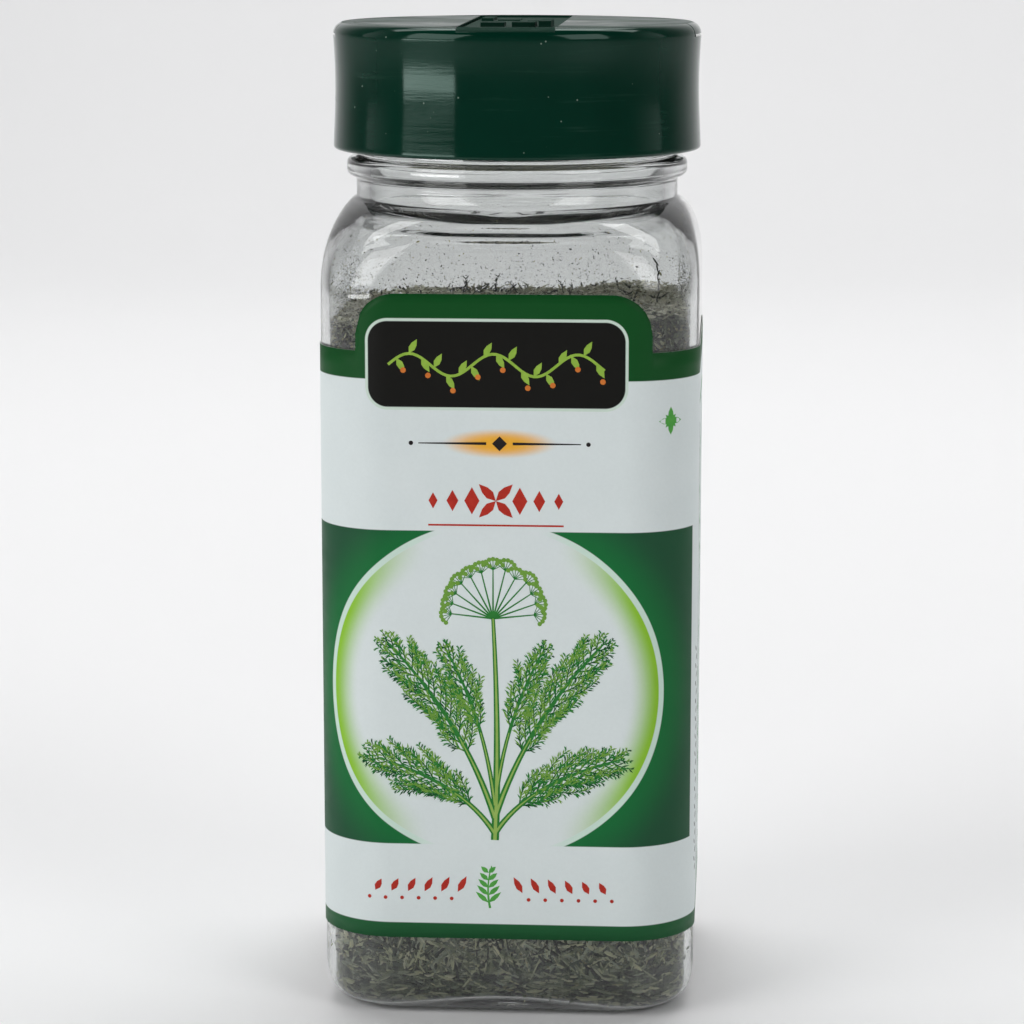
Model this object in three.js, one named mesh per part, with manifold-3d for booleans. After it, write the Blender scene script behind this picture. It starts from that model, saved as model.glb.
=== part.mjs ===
// A square clear spice jar filled with chopped dried dill, with its wraparound label
// and a screw cap that has a sifter flap and a pouring flap.
// Millimetres, +Z up, front of the label towards -Y, origin at the middle of the foot.

import * as THREE from "three";
import Module from "manifold-3d";
import { mergeVertices } from "three/addons/utils/BufferGeometryUtils.js";

// Driving dimensions of the jar
const BODY_HALF = 23.15;
const BODY_CORNER = 9.1;
const WALL = 1.05;
const SHOULDER_START = 88.5;
const SHOULDER_END = 100;
const FOOT_INNER = 17.6;
const FOOT_OUTER = 19.6;
const PUSH_UP = 1.4;
const FLOOR_THICKNESS = 1.6;
const HEEL_OUTER_Z = 5;
const HEEL_INNER_Z = 5.4;
const FLOOR_WAVE = 0.45;
const NECK_WAIST = 20.1;
const BEAD_RADIUS = 21.3;
const NECK_RADIUS = 19.8;
const BORE_RADIUS = 18.3;
const LIP_Z = 117.3;

// Screw thread, the same pitch on the neck and in the cap
const PITCH = 4.23;
const THREAD_HEIGHT = 1.15;
const THREAD_FOOT = 2.2;
const THREAD_CREST = 0.9;
const THREAD_SINK = 0.45;
const THREAD_TURNS = 1.3;
const THREAD_STEPS = 44;
const THREAD_START_Z = 107.9;
const THREAD_GRIP = 0.15;

// Label, wrapped round the body with its two ends apart at the back
const LABEL_GAP = 0.1;
const LABEL_THICKNESS = 0.25;
const LABEL_BOTTOM = 9.96;
const LABEL_TOP = 82.95;
const TAB_TOP = 89.94;
const TAB_LEFT = -18.2;
const TAB_RIGHT = 17.8;
const TAB_CORNER = 5;
const LABEL_SEAM = 6;

// Half the size of the blocks that cut away whatever lies past a line
const CUT_REACH = 40;

// Cap and its two flaps
const CAP_BOTTOM = 105.75;
const CAP_TOP = 121.4;
const CAP_RADIUS = 22.96;
const CAP_WAIST = 22.57;
const CAP_WAIST_Z = 114.2;
const CAP_SHOULDER = 22.77;
const CAP_INNER = 21.4;
const CAP_FILLET = 1.5;
const CAP_EDGE = 0.4;
const DECK_UNDER = 118.4;
const DECK_TOP = 119.7;
const RIM_INNER = 20.7;
const BRIDGE_HALF = 5.7;
const FLAP_GAP = 0.3;
const FLAP_UNDER = DECK_TOP + FLAP_GAP;
const FLAP_HALF = 18.5;
const THUMB_HALF = 5.6;
const HOLE_RADIUS = 2.2;
const PLUG_RADIUS = 1.5;
const PLUG_DEPTH = 0.8;
const HOLE_SPACING = 6.4;
const HOLE_ROWS = [{ distance: 10.4, count: 3 }, { distance: 16.2, count: 4 }];
const POUR_START = 8;
const POUR_RADIUS = 18.6;
const RIB_CLEARANCE = 0.45;
const RIB_THICKNESS = 0.7;
const RIB_DEPTH = 1;
const LINER_INNER = 17.6;
const LINER_OUTER = 20.9;
const LINER_GAP = 0.2;

// Dried dill
const DILL_CLEARANCE = 0.85;
const DILL_TOP = 86.3;
const DILL_ROUGHNESS = 0.55;
const SIDE_NEEDLES = 150;
const BOTTOM_NEEDLES = 16;
const TOP_NEEDLES = 90;
const TOP_SPRIGS = 14;

// Steps round the circle and round each side and corner of the square body
const ROUND_STEPS = 48;
const BODY_STEPS = { flat: 6, corner: 5 };
const DILL_STEPS = { flat: 4, corner: 3 };

const wasm = await Module();
wasm.setup();

function solidOf(geometry) {
  geometry.deleteAttribute("normal");
  geometry.deleteAttribute("uv");
  const merged = mergeVertices(geometry, 1e-4);
  const vertProperties = merged.attributes.position.array;
  const triVerts = new Uint32Array(merged.index.array);
  return new wasm.Manifold(new wasm.Mesh({ numProp: 3, vertProperties, triVerts }));
}

function geometryOf(solid) {
  const mesh = solid.getMesh();
  const geometry = new THREE.BufferGeometry();
  geometry.setAttribute("position", new THREE.BufferAttribute(mesh.vertProperties, 3));
  geometry.setIndex(new THREE.BufferAttribute(mesh.triVerts, 1));
  geometry.computeVertexNormals();
  return geometry;
}

function seeded(seed) {
  let state = seed;
  return () => {
    state = (state * 1664525 + 1013904223) % 4294967296;
    return state / 4294967296;
  };
}

function points(pairs) {
  return pairs.map(([x, y]) => new THREE.Vector2(x, y));
}

// A round piece turned about Z from a closed outline of radius and height.
function turned(outline, steps = ROUND_STEPS) {
  const geometry = new THREE.LatheGeometry(points(outline), steps);
  geometry.rotateX(Math.PI / 2);
  return solidOf(geometry);
}

// A flat shape in X and Y, raised from one height to another.
function plate(shape, bottom, top, curveSegments = 12) {
  const geometry = new THREE.ExtrudeGeometry(shape, {
    depth: top - bottom,
    bevelEnabled: false,
    curveSegments,
  });
  geometry.translate(0, 0, bottom);
  return solidOf(geometry);
}

function block(x0, x1, y0, y1, z0, z1) {
  const geometry = new THREE.BoxGeometry(x1 - x0, y1 - y0, z1 - z0);
  geometry.translate((x0 + x1) / 2, (y0 + y1) / 2, (z0 + z1) / 2);
  return solidOf(geometry);
}

// Directions around the body: even steps over each flat side, finer ones over each corner.
function bodyAngles(steps) {
  const flatEnd = Math.atan2(BODY_HALF - BODY_CORNER, BODY_HALF);
  const angles = [];
  for (let side = 0; side < 4; side += 1) {
    const middle = (side * Math.PI) / 2;
    for (let i = 0; i < steps.flat; i += 1) {
      angles.push(middle - flatEnd + (2 * flatEnd * i) / steps.flat);
    }
    for (let i = 0; i < steps.corner; i += 1) {
      angles.push(middle + flatEnd + ((Math.PI / 2 - 2 * flatEnd) * i) / steps.corner);
    }
  }
  return angles;
}

// Distance from the axis to a square with rounded corners, in one direction.
function squareReach(angle, half, corner) {
  const quarter = Math.PI / 2;
  const turn = ((angle % quarter) + quarter) % quarter;
  const near = Math.min(turn, quarter - turn);
  const centre = half - corner;
  const flat = half / Math.cos(near);
  if (flat * Math.sin(near) <= centre) {
    return flat;
  }
  const across = centre * (Math.cos(near) - Math.sin(near));
  return centre * (Math.cos(near) + Math.sin(near)) + Math.sqrt(corner * corner - across * across);
}

// A lathe whose round section is pushed out to a rounded square.
// Each outline entry is half the width, the corner radius and the height.
function squareTurned(outline, steps = BODY_STEPS, shift = () => [0, 0]) {
  const angles = bodyAngles(steps);
  const geometry = new THREE.LatheGeometry(points(outline), angles.length);
  const position = geometry.attributes.position;
  for (let i = 0; i < position.count; i += 1) {
    const angle = angles[Math.floor(i / outline.length) % angles.length];
    const [half, corner, z] = outline[i % outline.length];
    const [inward, rise] = shift(angle, i % outline.length);
    const reach = half > 0 ? squareReach(angle, half, Math.min(corner, half)) - inward : 0;
    position.setXYZ(i, reach * Math.cos(angle), reach * Math.sin(angle), z + rise);
  }
  return solidOf(geometry);
}

// The outside of the shoulder, from the square body at 0 to the round neck at 1.
function shoulder(share, inset) {
  const centre = (BODY_HALF - BODY_CORNER) * (1 - share ** 2.2);
  const bulge = (1 - share ** 3) ** 0.78;
  const half = NECK_WAIST + (BODY_HALF - NECK_WAIST) * bulge - inset;
  const z = SHOULDER_START + (SHOULDER_END - SHOULDER_START) * share;
  return [half, half - centre, z - inset * share * 0.6];
}

// A trapezoid bar wound up a helix, thinning out at both ends over an eighth of its length.
// The foot is sunk into the wall, and side is 1 for an outside thread and -1 for an inside one.
function thread(wallRadius, side, startZ, startAngle) {
  const shape = new THREE.Shape(points([
    [-THREAD_SINK, -THREAD_FOOT / 2],
    [THREAD_HEIGHT, -THREAD_CREST / 2],
    [THREAD_HEIGHT, THREAD_CREST / 2],
    [-THREAD_SINK, THREAD_FOOT / 2],
  ]));
  const steps = Math.round(THREAD_STEPS * THREAD_TURNS);
  const geometry = new THREE.ExtrudeGeometry(shape, { depth: 1, steps, bevelEnabled: false });
  const position = geometry.attributes.position;
  for (let i = 0; i < position.count; i += 1) {
    const share = 1 - position.getZ(i);
    const end = Math.min(1, 0.12 + 8 * Math.min(share, 1 - share));
    const out = Math.max(-THREAD_SINK, position.getX(i) * end);
    const angle = startAngle + share * THREAD_TURNS * 2 * Math.PI;
    const radius = wallRadius + side * out;
    const z = startZ + share * THREAD_TURNS * PITCH + side * position.getY(i) * (0.4 + 0.6 * end);
    position.setXYZ(i, radius * Math.cos(angle), radius * Math.sin(angle), z);
  }
  return solidOf(geometry);
}

// The inside of the base from the wall to the axis, or the underside of what fills it,
// drawn in from the wall and up from the floor by inset.
function basin(inset) {
  const half = BODY_HALF - WALL - inset;
  const corner = BODY_CORNER - WALL - inset;
  const floor = PUSH_UP + FLOOR_THICKNESS + inset;
  return [
    [half, corner, HEEL_INNER_Z + inset],
    [half - 0.4, corner, HEEL_INNER_Z - 1.8 + inset],
    [half - 1.5, corner - 0.6, HEEL_INNER_Z - 2.9 + inset],
    [half - 3.5, corner - 1, floor - 0.9],
    [half - 7.5, corner - 1, floor - 0.8],
    [9, 8, floor - 0.3],
    [0, 0, floor],
  ];
}

// The base is thickest at the middle of each side and thinnest at each corner.
function baseWave(angle, half) {
  return FLOOR_WAVE * Math.cos(4 * angle) * Math.min(1, half / FOOT_INNER);
}

function jar() {
  const outline = [
    [0, 0, PUSH_UP],
    [9, 8, PUSH_UP * 0.9],
    [FOOT_INNER - 3, 7, PUSH_UP * 0.45],
    [FOOT_INNER, 7, 0],
    [FOOT_OUTER, 7.6, 0],
    [BODY_HALF - 1.5, 8.4, 0.7],
    [BODY_HALF - 0.5, 8.8, 2.2],
    [BODY_HALF, BODY_CORNER, HEEL_OUTER_Z],
  ];
  const shoulderSteps = 7;
  for (let i = 0; i <= shoulderSteps; i += 1) {
    outline.push(shoulder(i / shoulderSteps, 0));
  }
  const round = [
    [NECK_WAIST, SHOULDER_END + 1.2],
    [BEAD_RADIUS - 0.4, SHOULDER_END + 1.9],
    [BEAD_RADIUS, SHOULDER_END + 2.8],
    [BEAD_RADIUS, SHOULDER_END + 3.6],
    [BEAD_RADIUS - 0.3, SHOULDER_END + 4.4],
    [NECK_RADIUS, SHOULDER_END + 4.8],
    [NECK_RADIUS, LIP_Z - 0.4],
    [NECK_RADIUS - 0.4, LIP_Z],
    [BORE_RADIUS + 0.3, LIP_Z],
    [BORE_RADIUS, LIP_Z - 0.3],
  ];
  outline.push(...round.map(([radius, z]) => [radius, radius, z]));
  const bottomInset = NECK_WAIST - BORE_RADIUS;
  for (let i = shoulderSteps; i >= 0; i -= 1) {
    const share = i / shoulderSteps;
    outline.push(shoulder(share, WALL + (bottomInset - WALL) * share));
  }
  const firstFloor = outline.length + 1;
  outline.push(...basin(0));
  const wavy = (angle, ring) => [0, ring < firstFloor ? 0 : baseWave(angle, outline[ring][0])];
  return squareTurned(outline, BODY_STEPS, wavy).add(thread(NECK_RADIUS, 1, THREAD_START_Z, 0));
}

function label() {
  const inner = BODY_HALF + LABEL_GAP;
  const innerCorner = BODY_CORNER + LABEL_GAP;
  const outer = inner + LABEL_THICKNESS;
  const outerCorner = innerCorner + LABEL_THICKNESS;
  const tall = TAB_TOP + 1;
  const band = squareTurned([
    [inner, innerCorner, LABEL_BOTTOM],
    [outer, outerCorner, LABEL_BOTTOM],
    [outer, outerCorner, tall],
    [inner, innerCorner, tall],
    [inner, innerCorner, LABEL_BOTTOM],
  ]);
  const above = new THREE.Shape();
  above.moveTo(-CUT_REACH, LABEL_TOP);
  above.lineTo(TAB_LEFT, LABEL_TOP);
  above.lineTo(TAB_LEFT, TAB_TOP - TAB_CORNER);
  above.absarc(TAB_LEFT + TAB_CORNER, TAB_TOP - TAB_CORNER, TAB_CORNER, Math.PI, Math.PI / 2, true);
  above.absarc(TAB_RIGHT - TAB_CORNER, TAB_TOP - TAB_CORNER, TAB_CORNER, Math.PI / 2, 0, true);
  above.lineTo(TAB_RIGHT, LABEL_TOP);
  above.lineTo(CUT_REACH, LABEL_TOP);
  above.lineTo(CUT_REACH, tall + 5);
  above.lineTo(-CUT_REACH, tall + 5);
  const front = new THREE.ExtrudeGeometry(above, {
    depth: CUT_REACH + 1,
    bevelEnabled: false,
    curveSegments: 5,
  });
  front.rotateX(Math.PI / 2);
  front.translate(0, 1, 0);
  const back = block(-CUT_REACH, CUT_REACH, 0, CUT_REACH, LABEL_TOP, tall + 5);
  const seam = block(-LABEL_SEAM / 2, LABEL_SEAM / 2, FOOT_INNER, CUT_REACH, 0, tall + 5);
  return band.subtract(solidOf(front)).subtract(back).subtract(seam);
}

// Outside of the cap from the bottom edge to the flat top, drawn in by inset.
function capOutside(inset) {
  const outline = [
    [CAP_RADIUS - CAP_EDGE - inset, CAP_BOTTOM],
    [CAP_RADIUS - inset, CAP_BOTTOM + CAP_EDGE],
    [(CAP_RADIUS + CAP_WAIST) / 2 - inset, (CAP_BOTTOM + CAP_WAIST_Z) / 2],
    [CAP_WAIST - inset, CAP_WAIST_Z],
    [CAP_SHOULDER - inset, CAP_TOP - CAP_FILLET - 0.6],
  ];
  const filletSteps = 4;
  for (let i = 0; i <= filletSteps; i += 1) {
    const turn = (i / filletSteps) * (Math.PI / 2);
    outline.push([
      CAP_SHOULDER - inset - CAP_FILLET * (1 - Math.cos(turn)),
      CAP_TOP - CAP_FILLET * (1 - Math.sin(turn)),
    ]);
  }
  return outline;
}

// The half-disc between a straight side and an arc, on the side of +X.
function halfDisc(start, radius) {
  const shape = new THREE.Shape();
  const reach = Math.acos(start / radius);
  shape.absarc(0, 0, radius, -reach, reach, false);
  shape.closePath();
  return shape;
}

function sifterPlaces() {
  const places = [];
  for (const { distance, count } of HOLE_ROWS) {
    for (let i = 0; i < count; i += 1) {
      const angle = ((i - (count - 1) / 2) * HOLE_SPACING) / distance;
      places.push([-distance * Math.cos(angle), distance * Math.sin(angle)]);
    }
  }
  return places;
}

function disc(x, y, radius, bottom, top, steps = 14) {
  const geometry = new THREE.CylinderGeometry(radius, radius, top - bottom, steps);
  geometry.rotateX(Math.PI / 2);
  geometry.translate(x, y, (top + bottom) / 2);
  return solidOf(geometry);
}

function cap() {
  let body = turned([
    [0, DECK_UNDER],
    [CAP_INNER, DECK_UNDER],
    [CAP_INNER, CAP_BOTTOM + 0.5],
    [CAP_INNER + 0.3, CAP_BOTTOM],
    ...capOutside(0),
    [RIM_INNER, CAP_TOP],
    [RIM_INNER, DECK_TOP],
    [0, DECK_TOP],
  ]);
  const bridgeEnd = RIM_INNER + 0.4;
  const bridge = block(-BRIDGE_HALF, BRIDGE_HALF, -CAP_RADIUS, CAP_RADIUS, DECK_TOP - 0.5, CAP_TOP);
  body = body.add(bridge.intersect(disc(0, 0, bridgeEnd, DECK_UNDER, CAP_TOP + 1, ROUND_STEPS)));
  body = body.add(thread(CAP_INNER, -1, THREAD_START_Z + THREAD_GRIP, Math.PI));
  for (const side of [-1, 1]) {
    const near = side * (RIM_INNER - 2);
    const far = side * (CAP_RADIUS + 2);
    const width = THUMB_HALF + FLAP_GAP;
    const notch = block(Math.min(near, far), Math.max(near, far), -width, width, DECK_TOP, CAP_TOP + 1);
    body = body.subtract(notch);
  }
  for (const [x, y] of sifterPlaces()) {
    body = body.subtract(disc(x, y, HOLE_RADIUS, DECK_UNDER - 1, DECK_TOP + 1));
  }
  return body.subtract(plate(halfDisc(POUR_START, POUR_RADIUS), DECK_UNDER - 1, DECK_TOP + 1));
}

// A flap on the side of +X, with the thumb tab that fills the notch in the rim.
// Its two corners are cut off square, so that they clear the rim as the flap swings up.
function flapPlate() {
  const lid = plate(halfDisc(BRIDGE_HALF + FLAP_GAP, RIM_INNER - FLAP_GAP), FLAP_UNDER, CAP_TOP + 1, 24);
  const thumb = block(RIM_INNER - 3, CAP_RADIUS, -THUMB_HALF, THUMB_HALF, FLAP_UNDER, CAP_TOP + 1);
  const width = block(0, CAP_RADIUS, -FLAP_HALF, FLAP_HALF, FLAP_UNDER - 1, CAP_TOP + 1);
  const envelope = turned([[0, CAP_BOTTOM], ...capOutside(0.02), [0, CAP_TOP]]);
  return lid.intersect(width).add(thumb).intersect(envelope);
}

function flapPour() {
  const start = POUR_START + RIB_CLEARANCE;
  const radius = POUR_RADIUS - RIB_CLEARANCE;
  const bottom = FLAP_UNDER - RIB_DEPTH;
  const outside = plate(halfDisc(start, radius), bottom, FLAP_UNDER + 0.5);
  const inside = plate(
    halfDisc(start + RIB_THICKNESS, radius - RIB_THICKNESS), bottom - 1, FLAP_UNDER + 0.02);
  return flapPlate().add(outside.subtract(inside));
}

function flapSift() {
  let flap = flapPlate().rotate([0, 0, 180]);
  for (const [x, y] of sifterPlaces()) {
    flap = flap.add(disc(x, y, PLUG_RADIUS, FLAP_UNDER - PLUG_DEPTH - FLAP_GAP, FLAP_UNDER + 0.5, 10));
  }
  return flap;
}

function liner() {
  const bottom = LIP_Z + LINER_GAP;
  const top = DECK_UNDER - LINER_GAP;
  return turned([
    [LINER_INNER, bottom],
    [LINER_OUTER, bottom],
    [LINER_OUTER, top],
    [LINER_INNER, top],
    [LINER_INNER, bottom],
  ]);
}

// The main body of a joined solid, without slivers that miss it.
function largest(solid) {
  const bodies = solid.decompose();
  return bodies.reduce((best, body) => (body.volume() > best.volume() ? body : best));
}

// A three-sided sliver that is widest in the middle, from one point to another.
function sliver(from, to, width, turn) {
  const length = from.distanceTo(to);
  const outline = points([[0, -length / 2], [width / 2, -length * 0.1], [0, length / 2]]);
  const geometry = new THREE.LatheGeometry(outline, 3, turn);
  const along = new THREE.Vector3().subVectors(to, from).normalize();
  const pose = new THREE.Matrix4().makeRotationFromQuaternion(
    new THREE.Quaternion().setFromUnitVectors(new THREE.Vector3(0, 1, 0), along));
  pose.setPosition(new THREE.Vector3().addVectors(from, to).multiplyScalar(0.5));
  geometry.applyMatrix4(pose);
  return solidOf(geometry);
}

// Height of the heap of dill over a place on the floor plan.
function heapHeight(x, y) {
  const lean = 0.045 * x - 0.02 * y;
  return DILL_TOP + lean + 0.5 * Math.sin(0.42 * x + 1) * Math.cos(0.37 * y - 0.6);
}

function dill() {
  const random = seeded(4021);
  const between = (low, high) => low + (high - low) * random();
  const half = BODY_HALF - WALL - DILL_CLEARANCE;
  const corner = BODY_CORNER - WALL - DILL_CLEARANCE;
  const floor = PUSH_UP + FLOOR_THICKNESS + DILL_CLEARANCE;
  const outline = [
    ...basin(DILL_CLEARANCE).reverse(),
    [half, corner, 10.5],
    [half, corner, 14],
    [half, corner, DILL_TOP - 9],
    [half, corner, DILL_TOP - 6],
    [half, corner, DILL_TOP - 3.4],
    [half - 0.4, corner, DILL_TOP - 1.6],
    [half - 4.5, corner, DILL_TOP],
    [half - 9.5, corner, DILL_TOP],
    [half - 15, 5, DILL_TOP],
    [0, 0, DILL_TOP],
  ];
  const firstSide = 6;
  const firstTop = outline.length - 5;
  const rough = new Map();
  const crumple = (angle, ring) => {
    const [size] = outline[ring];
    if (size === 0 || ring < firstSide) {
      return [0, baseWave(angle, size)];
    }
    const key = `${angle.toFixed(4)} ${ring}`;
    if (!rough.has(key)) {
      rough.set(key, [between(0, DILL_ROUGHNESS), between(-0.6, 0.6)]);
    }
    const [inward, rise] = rough.get(key);
    const heap = heapHeight(size * Math.cos(angle), size * Math.sin(angle)) - DILL_TOP;
    return [inward, ring < firstTop ? 0 : heap + rise];
  };
  const core = squareTurned(outline, DILL_STEPS, crumple);

  const wallPoint = (angle, z) => {
    const reach = squareReach(angle, half - 0.1, corner - 0.1);
    return new THREE.Vector3(reach * Math.cos(angle), reach * Math.sin(angle), z);
  };
  const pieces = [];
  for (let i = 0; i < SIDE_NEEDLES; i += 1) {
    const angle = between(0, 2 * Math.PI);
    const zones = [[7, 13], [13, DILL_TOP - 9], [DILL_TOP - 9, DILL_TOP - 2]];
    const [low, high] = zones[i % zones.length];
    const z = between(low, high);
    const length = between(3, 6.5);
    const tilt = between(0, Math.PI);
    const end = angle + (length * Math.cos(tilt)) / half;
    const endZ = THREE.MathUtils.clamp(z + length * Math.sin(tilt), 7, DILL_TOP - 1.2);
    pieces.push(sliver(wallPoint(angle, z), wallPoint(end, endZ), between(1, 1.5), between(0, 6)));
  }
  for (let i = 0; i < BOTTOM_NEEDLES; i += 1) {
    const angle = between(0, 2 * Math.PI);
    const reach = between(3, 15);
    const turn = between(0, 2 * Math.PI);
    const length = between(3, 5);
    const from = new THREE.Vector3(reach * Math.cos(angle), reach * Math.sin(angle), floor - 0.2);
    const step = new THREE.Vector3(length * Math.cos(turn), length * Math.sin(turn), 0);
    pieces.push(sliver(from, from.clone().add(step), between(0.9, 1.2), between(0, 6)));
  }
  const topPoint = (inset) => {
    const angle = between(0, 2 * Math.PI);
    const reach = squareReach(angle, half - inset, corner) * Math.sqrt(random());
    const x = reach * Math.cos(angle);
    const y = reach * Math.sin(angle);
    return new THREE.Vector3(x, y, heapHeight(x, y) - 0.3);
  };
  const rising = (from, length, lift) => {
    const turn = between(0, 2 * Math.PI);
    const limit = half - 1;
    const x = THREE.MathUtils.clamp(from.x + length * Math.cos(turn), -limit, limit);
    const y = THREE.MathUtils.clamp(from.y + length * Math.sin(turn), -limit, limit);
    const reach = Math.hypot(x, y);
    const allowed = Math.min(1, squareReach(Math.atan2(y, x), limit, corner) / reach);
    return new THREE.Vector3(x * allowed, y * allowed, from.z + lift);
  };
  for (let i = 0; i < TOP_NEEDLES; i += 1) {
    const from = topPoint(1.5);
    const to = rising(from, between(3, 6), between(0.2, 1.4));
    pieces.push(sliver(from, to, between(1, 1.5), between(0, 6)));
  }
  for (let i = 0; i < TOP_SPRIGS; i += 1) {
    const from = topPoint(3);
    const tip = rising(from, between(3, 5), between(2, 3.4));
    const along = new THREE.Vector3().subVectors(tip, from);
    const across = new THREE.Vector3(-along.y, along.x, 0.6).normalize();
    pieces.push(sliver(from, tip, 1.1, 0.5));
    for (const side of [-1, 1]) {
      const fork = from.clone().addScaledVector(along, 0.45);
      const leaflet = fork.clone().addScaledVector(along, 0.35);
      leaflet.addScaledVector(across, side * 1.6);
      const root = fork.clone().addScaledVector(along, -0.12);
      pieces.push(sliver(root, leaflet, 1, 1));
    }
  }
  return largest(wasm.Manifold.union([core, ...pieces]));
}

const part = new THREE.Group();

function addPiece(name, solid, color, roughness, extra = {}) {
  const material = new THREE.MeshStandardMaterial({ color, roughness, metalness: 0, ...extra });
  const mesh = new THREE.Mesh(geometryOf(solid), material);
  mesh.name = name;
  part.add(mesh);
}

addPiece("jar", jar(), "#e9eeea", 0.06, { transparent: true, opacity: 0.3 });
addPiece("label", label(), "#6f8a3a", 0.4);
addPiece("dill", dill(), "#6b6a3c", 0.9);
addPiece("liner", liner(), "#eceae2", 0.6);
addPiece("cap", cap(), "#123a22", 0.25);
addPiece("flap_sift", flapSift(), "#123a22", 0.25);
addPiece("flap_pour", flapPour(), "#123a22", 0.25);

export default part;
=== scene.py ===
import math
import random

import bmesh
import bpy
from mathutils import Matrix, Vector


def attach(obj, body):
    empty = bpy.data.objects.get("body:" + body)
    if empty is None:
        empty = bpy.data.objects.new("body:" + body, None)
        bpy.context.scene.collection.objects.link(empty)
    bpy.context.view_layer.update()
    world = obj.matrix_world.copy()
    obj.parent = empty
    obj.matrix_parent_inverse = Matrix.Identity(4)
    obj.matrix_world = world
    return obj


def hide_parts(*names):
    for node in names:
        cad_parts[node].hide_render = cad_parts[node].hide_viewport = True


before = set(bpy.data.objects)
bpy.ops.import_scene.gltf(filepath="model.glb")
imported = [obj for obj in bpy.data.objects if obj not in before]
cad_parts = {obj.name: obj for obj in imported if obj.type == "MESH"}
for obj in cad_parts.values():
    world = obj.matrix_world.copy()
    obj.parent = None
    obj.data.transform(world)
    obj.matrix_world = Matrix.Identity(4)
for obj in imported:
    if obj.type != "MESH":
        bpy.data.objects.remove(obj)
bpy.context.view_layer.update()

MM = 0.001

# Jar, in millimetres, as in the part's source
BODY_HALF = 23.15
BODY_CORNER = 9.1
WALL = 1.05
SHOULDER_START = 88.5
SHOULDER_END = 100.0
FOOT_INNER = 17.6
FOOT_OUTER = 19.6
PUSH_UP = 1.4
FLOOR_THICKNESS = 0.9
FLOOR_LOW = 1.0
HEEL_OUTER_Z = 5.0
HEEL_INNER_Z = 5.4
FLOOR_WAVE = 0.5
RIPPLE_LOW = 94.3
RIPPLE_HIGH = 99.6
RIPPLE_PITCH = 1.5
RIPPLE_DEPTH = 0.2
NECK_WAIST = 20.1
BEAD_RADIUS = 21.3
BEAD_BOTTOM = 102.42
BEAD_TOP = 104.8
BEAD_ROUND = 0.85
LIP_ROUND = 0.4
WALL_LEVELS = (12, 22, 34, 46, 58, 70, 80, 85)
NECK_RADIUS = 19.8
BORE_RADIUS = 18.3
LIP_Z = 117.3
PITCH = 4.23
THREAD_HEIGHT = 1.15
THREAD_FOOT = 2.2
THREAD_CREST = 0.9
THREAD_TURNS = 1.3
THREAD_START_Z = 107.9
THREAD_GRIP = 0.15

# Label: places are in millimetres across from the middle of the front, and up from the table
LABEL_LIFT = 0.13
LABEL_THICKNESS = 0.1
INK_SUNK = 0.06
INK_STEP = 0.008
LABEL_BOTTOM = 9.96
LABEL_TOP = 82.95
TAB_TOP = 89.94
TAB_LEFT = -18.2
TAB_RIGHT = 17.8
TAB_CORNER = 5.0
LABEL_SEAM = 6.0
PRINT_WIDTH = 200.0
PRINT_HEIGHT = 100.0
WINDOW_X, WINDOW_Z, WINDOW_RADIUS = -1.5, 41.2, 21.17
FIELD_BOTTOM, FIELD_TOP, FIELD_LEFT, FIELD_RIGHT = 21.94, 61.17, -27.6, 25.0
TOP_BAND_Z = 79.59
FOOT_STRIPE_Z = 11.87
PANEL_X, PANEL_Z = -1.0, 81.45
PANEL_HALF_WIDTH, PANEL_HALF_HEIGHT, PANEL_CORNER = 15.5, 5.19, 2.4
RULE_X, RULE_Z = -0.6, 71.9
DIVIDER_X, DIVIDER_Z = -1.05, 64.9
DIVIDER_LINE_Z = 61.9
HERB_X, HERB_FOOT_Z = -1.2, 23.4
FOOT_ROW_X, FOOT_ROW_Z = -1.8, 16.4
ROSETTE_X, ROSETTE_Z = 20.4, 74.6
SIDE_ROW_X = 27.2
SIDE_PANEL_X = 42.4

# Cap and flaps
CAP_BOTTOM = 105.75
CAP_TOP = 121.4
CAP_RADIUS = 22.93
CAP_WAIST = 22.66
CAP_WAIST_Z = 113.9
CAP_SHOULDER = 22.9
CAP_INNER = 21.4
CAP_FILLET = 1.5
CAP_EDGE = 0.4
DECK_UNDER = 118.4
DECK_TOP = 119.7
RIM_INNER = 20.7
BRIDGE_HALF = 5.7
BRIDGE_SUNK = 0.3
FLAP_GAP = 0.3
FLAP_HALF = 18.5
THUMB_HALF = 5.6
HOLE_RADIUS = 2.2
PLUG_RADIUS = 1.5
PLUG_DEPTH = 0.8
HOLE_ROWS = ((10.4, 3), (16.2, 4))
HOLE_SPACING = 6.4
POUR_START = 8.0
POUR_RADIUS = 18.6
RIB_CLEARANCE = 0.45
RIB_THICKNESS = 0.7
RIB_DEPTH = 1.0

# Hinge blocks at the front end of the bridge as x, x, y, y and rise, turned round and repeated at the back
HINGE_BLOCKS = (
    (-3.7, -0.8, -11.5, -8.4, 0.2),
    (0.2, 3.0, -13.0, -8.4, 0.3),
    (3.5, 5.0, -14.4, -7.4, 0.5),
)
BACK_BLOCK_SUNK = 0.45

# Dried dill
DILL_TOP = 86.3
MOUND = 1.5

# Sprigs that stand up over the label's tab, as x, y and height
TALL_SPRIGS = (
    (-8.2, 12, 2.4), (-7.4, 14, 1.7), (-6.6, 11, 2.2), (-3.6, 13, 2.5), (-2.4, 12, 1.5),
    (-1.2, 14, 2.1), (4.9, 13, 2.2), (5.9, 11, 1.3), (-14.5, 10, 1.4), (12.5, 9, 1.3),
)

# Steps round the jar's wall and round the cap
AROUND = 192
CAP_AROUND = 160


# Materials


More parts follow.
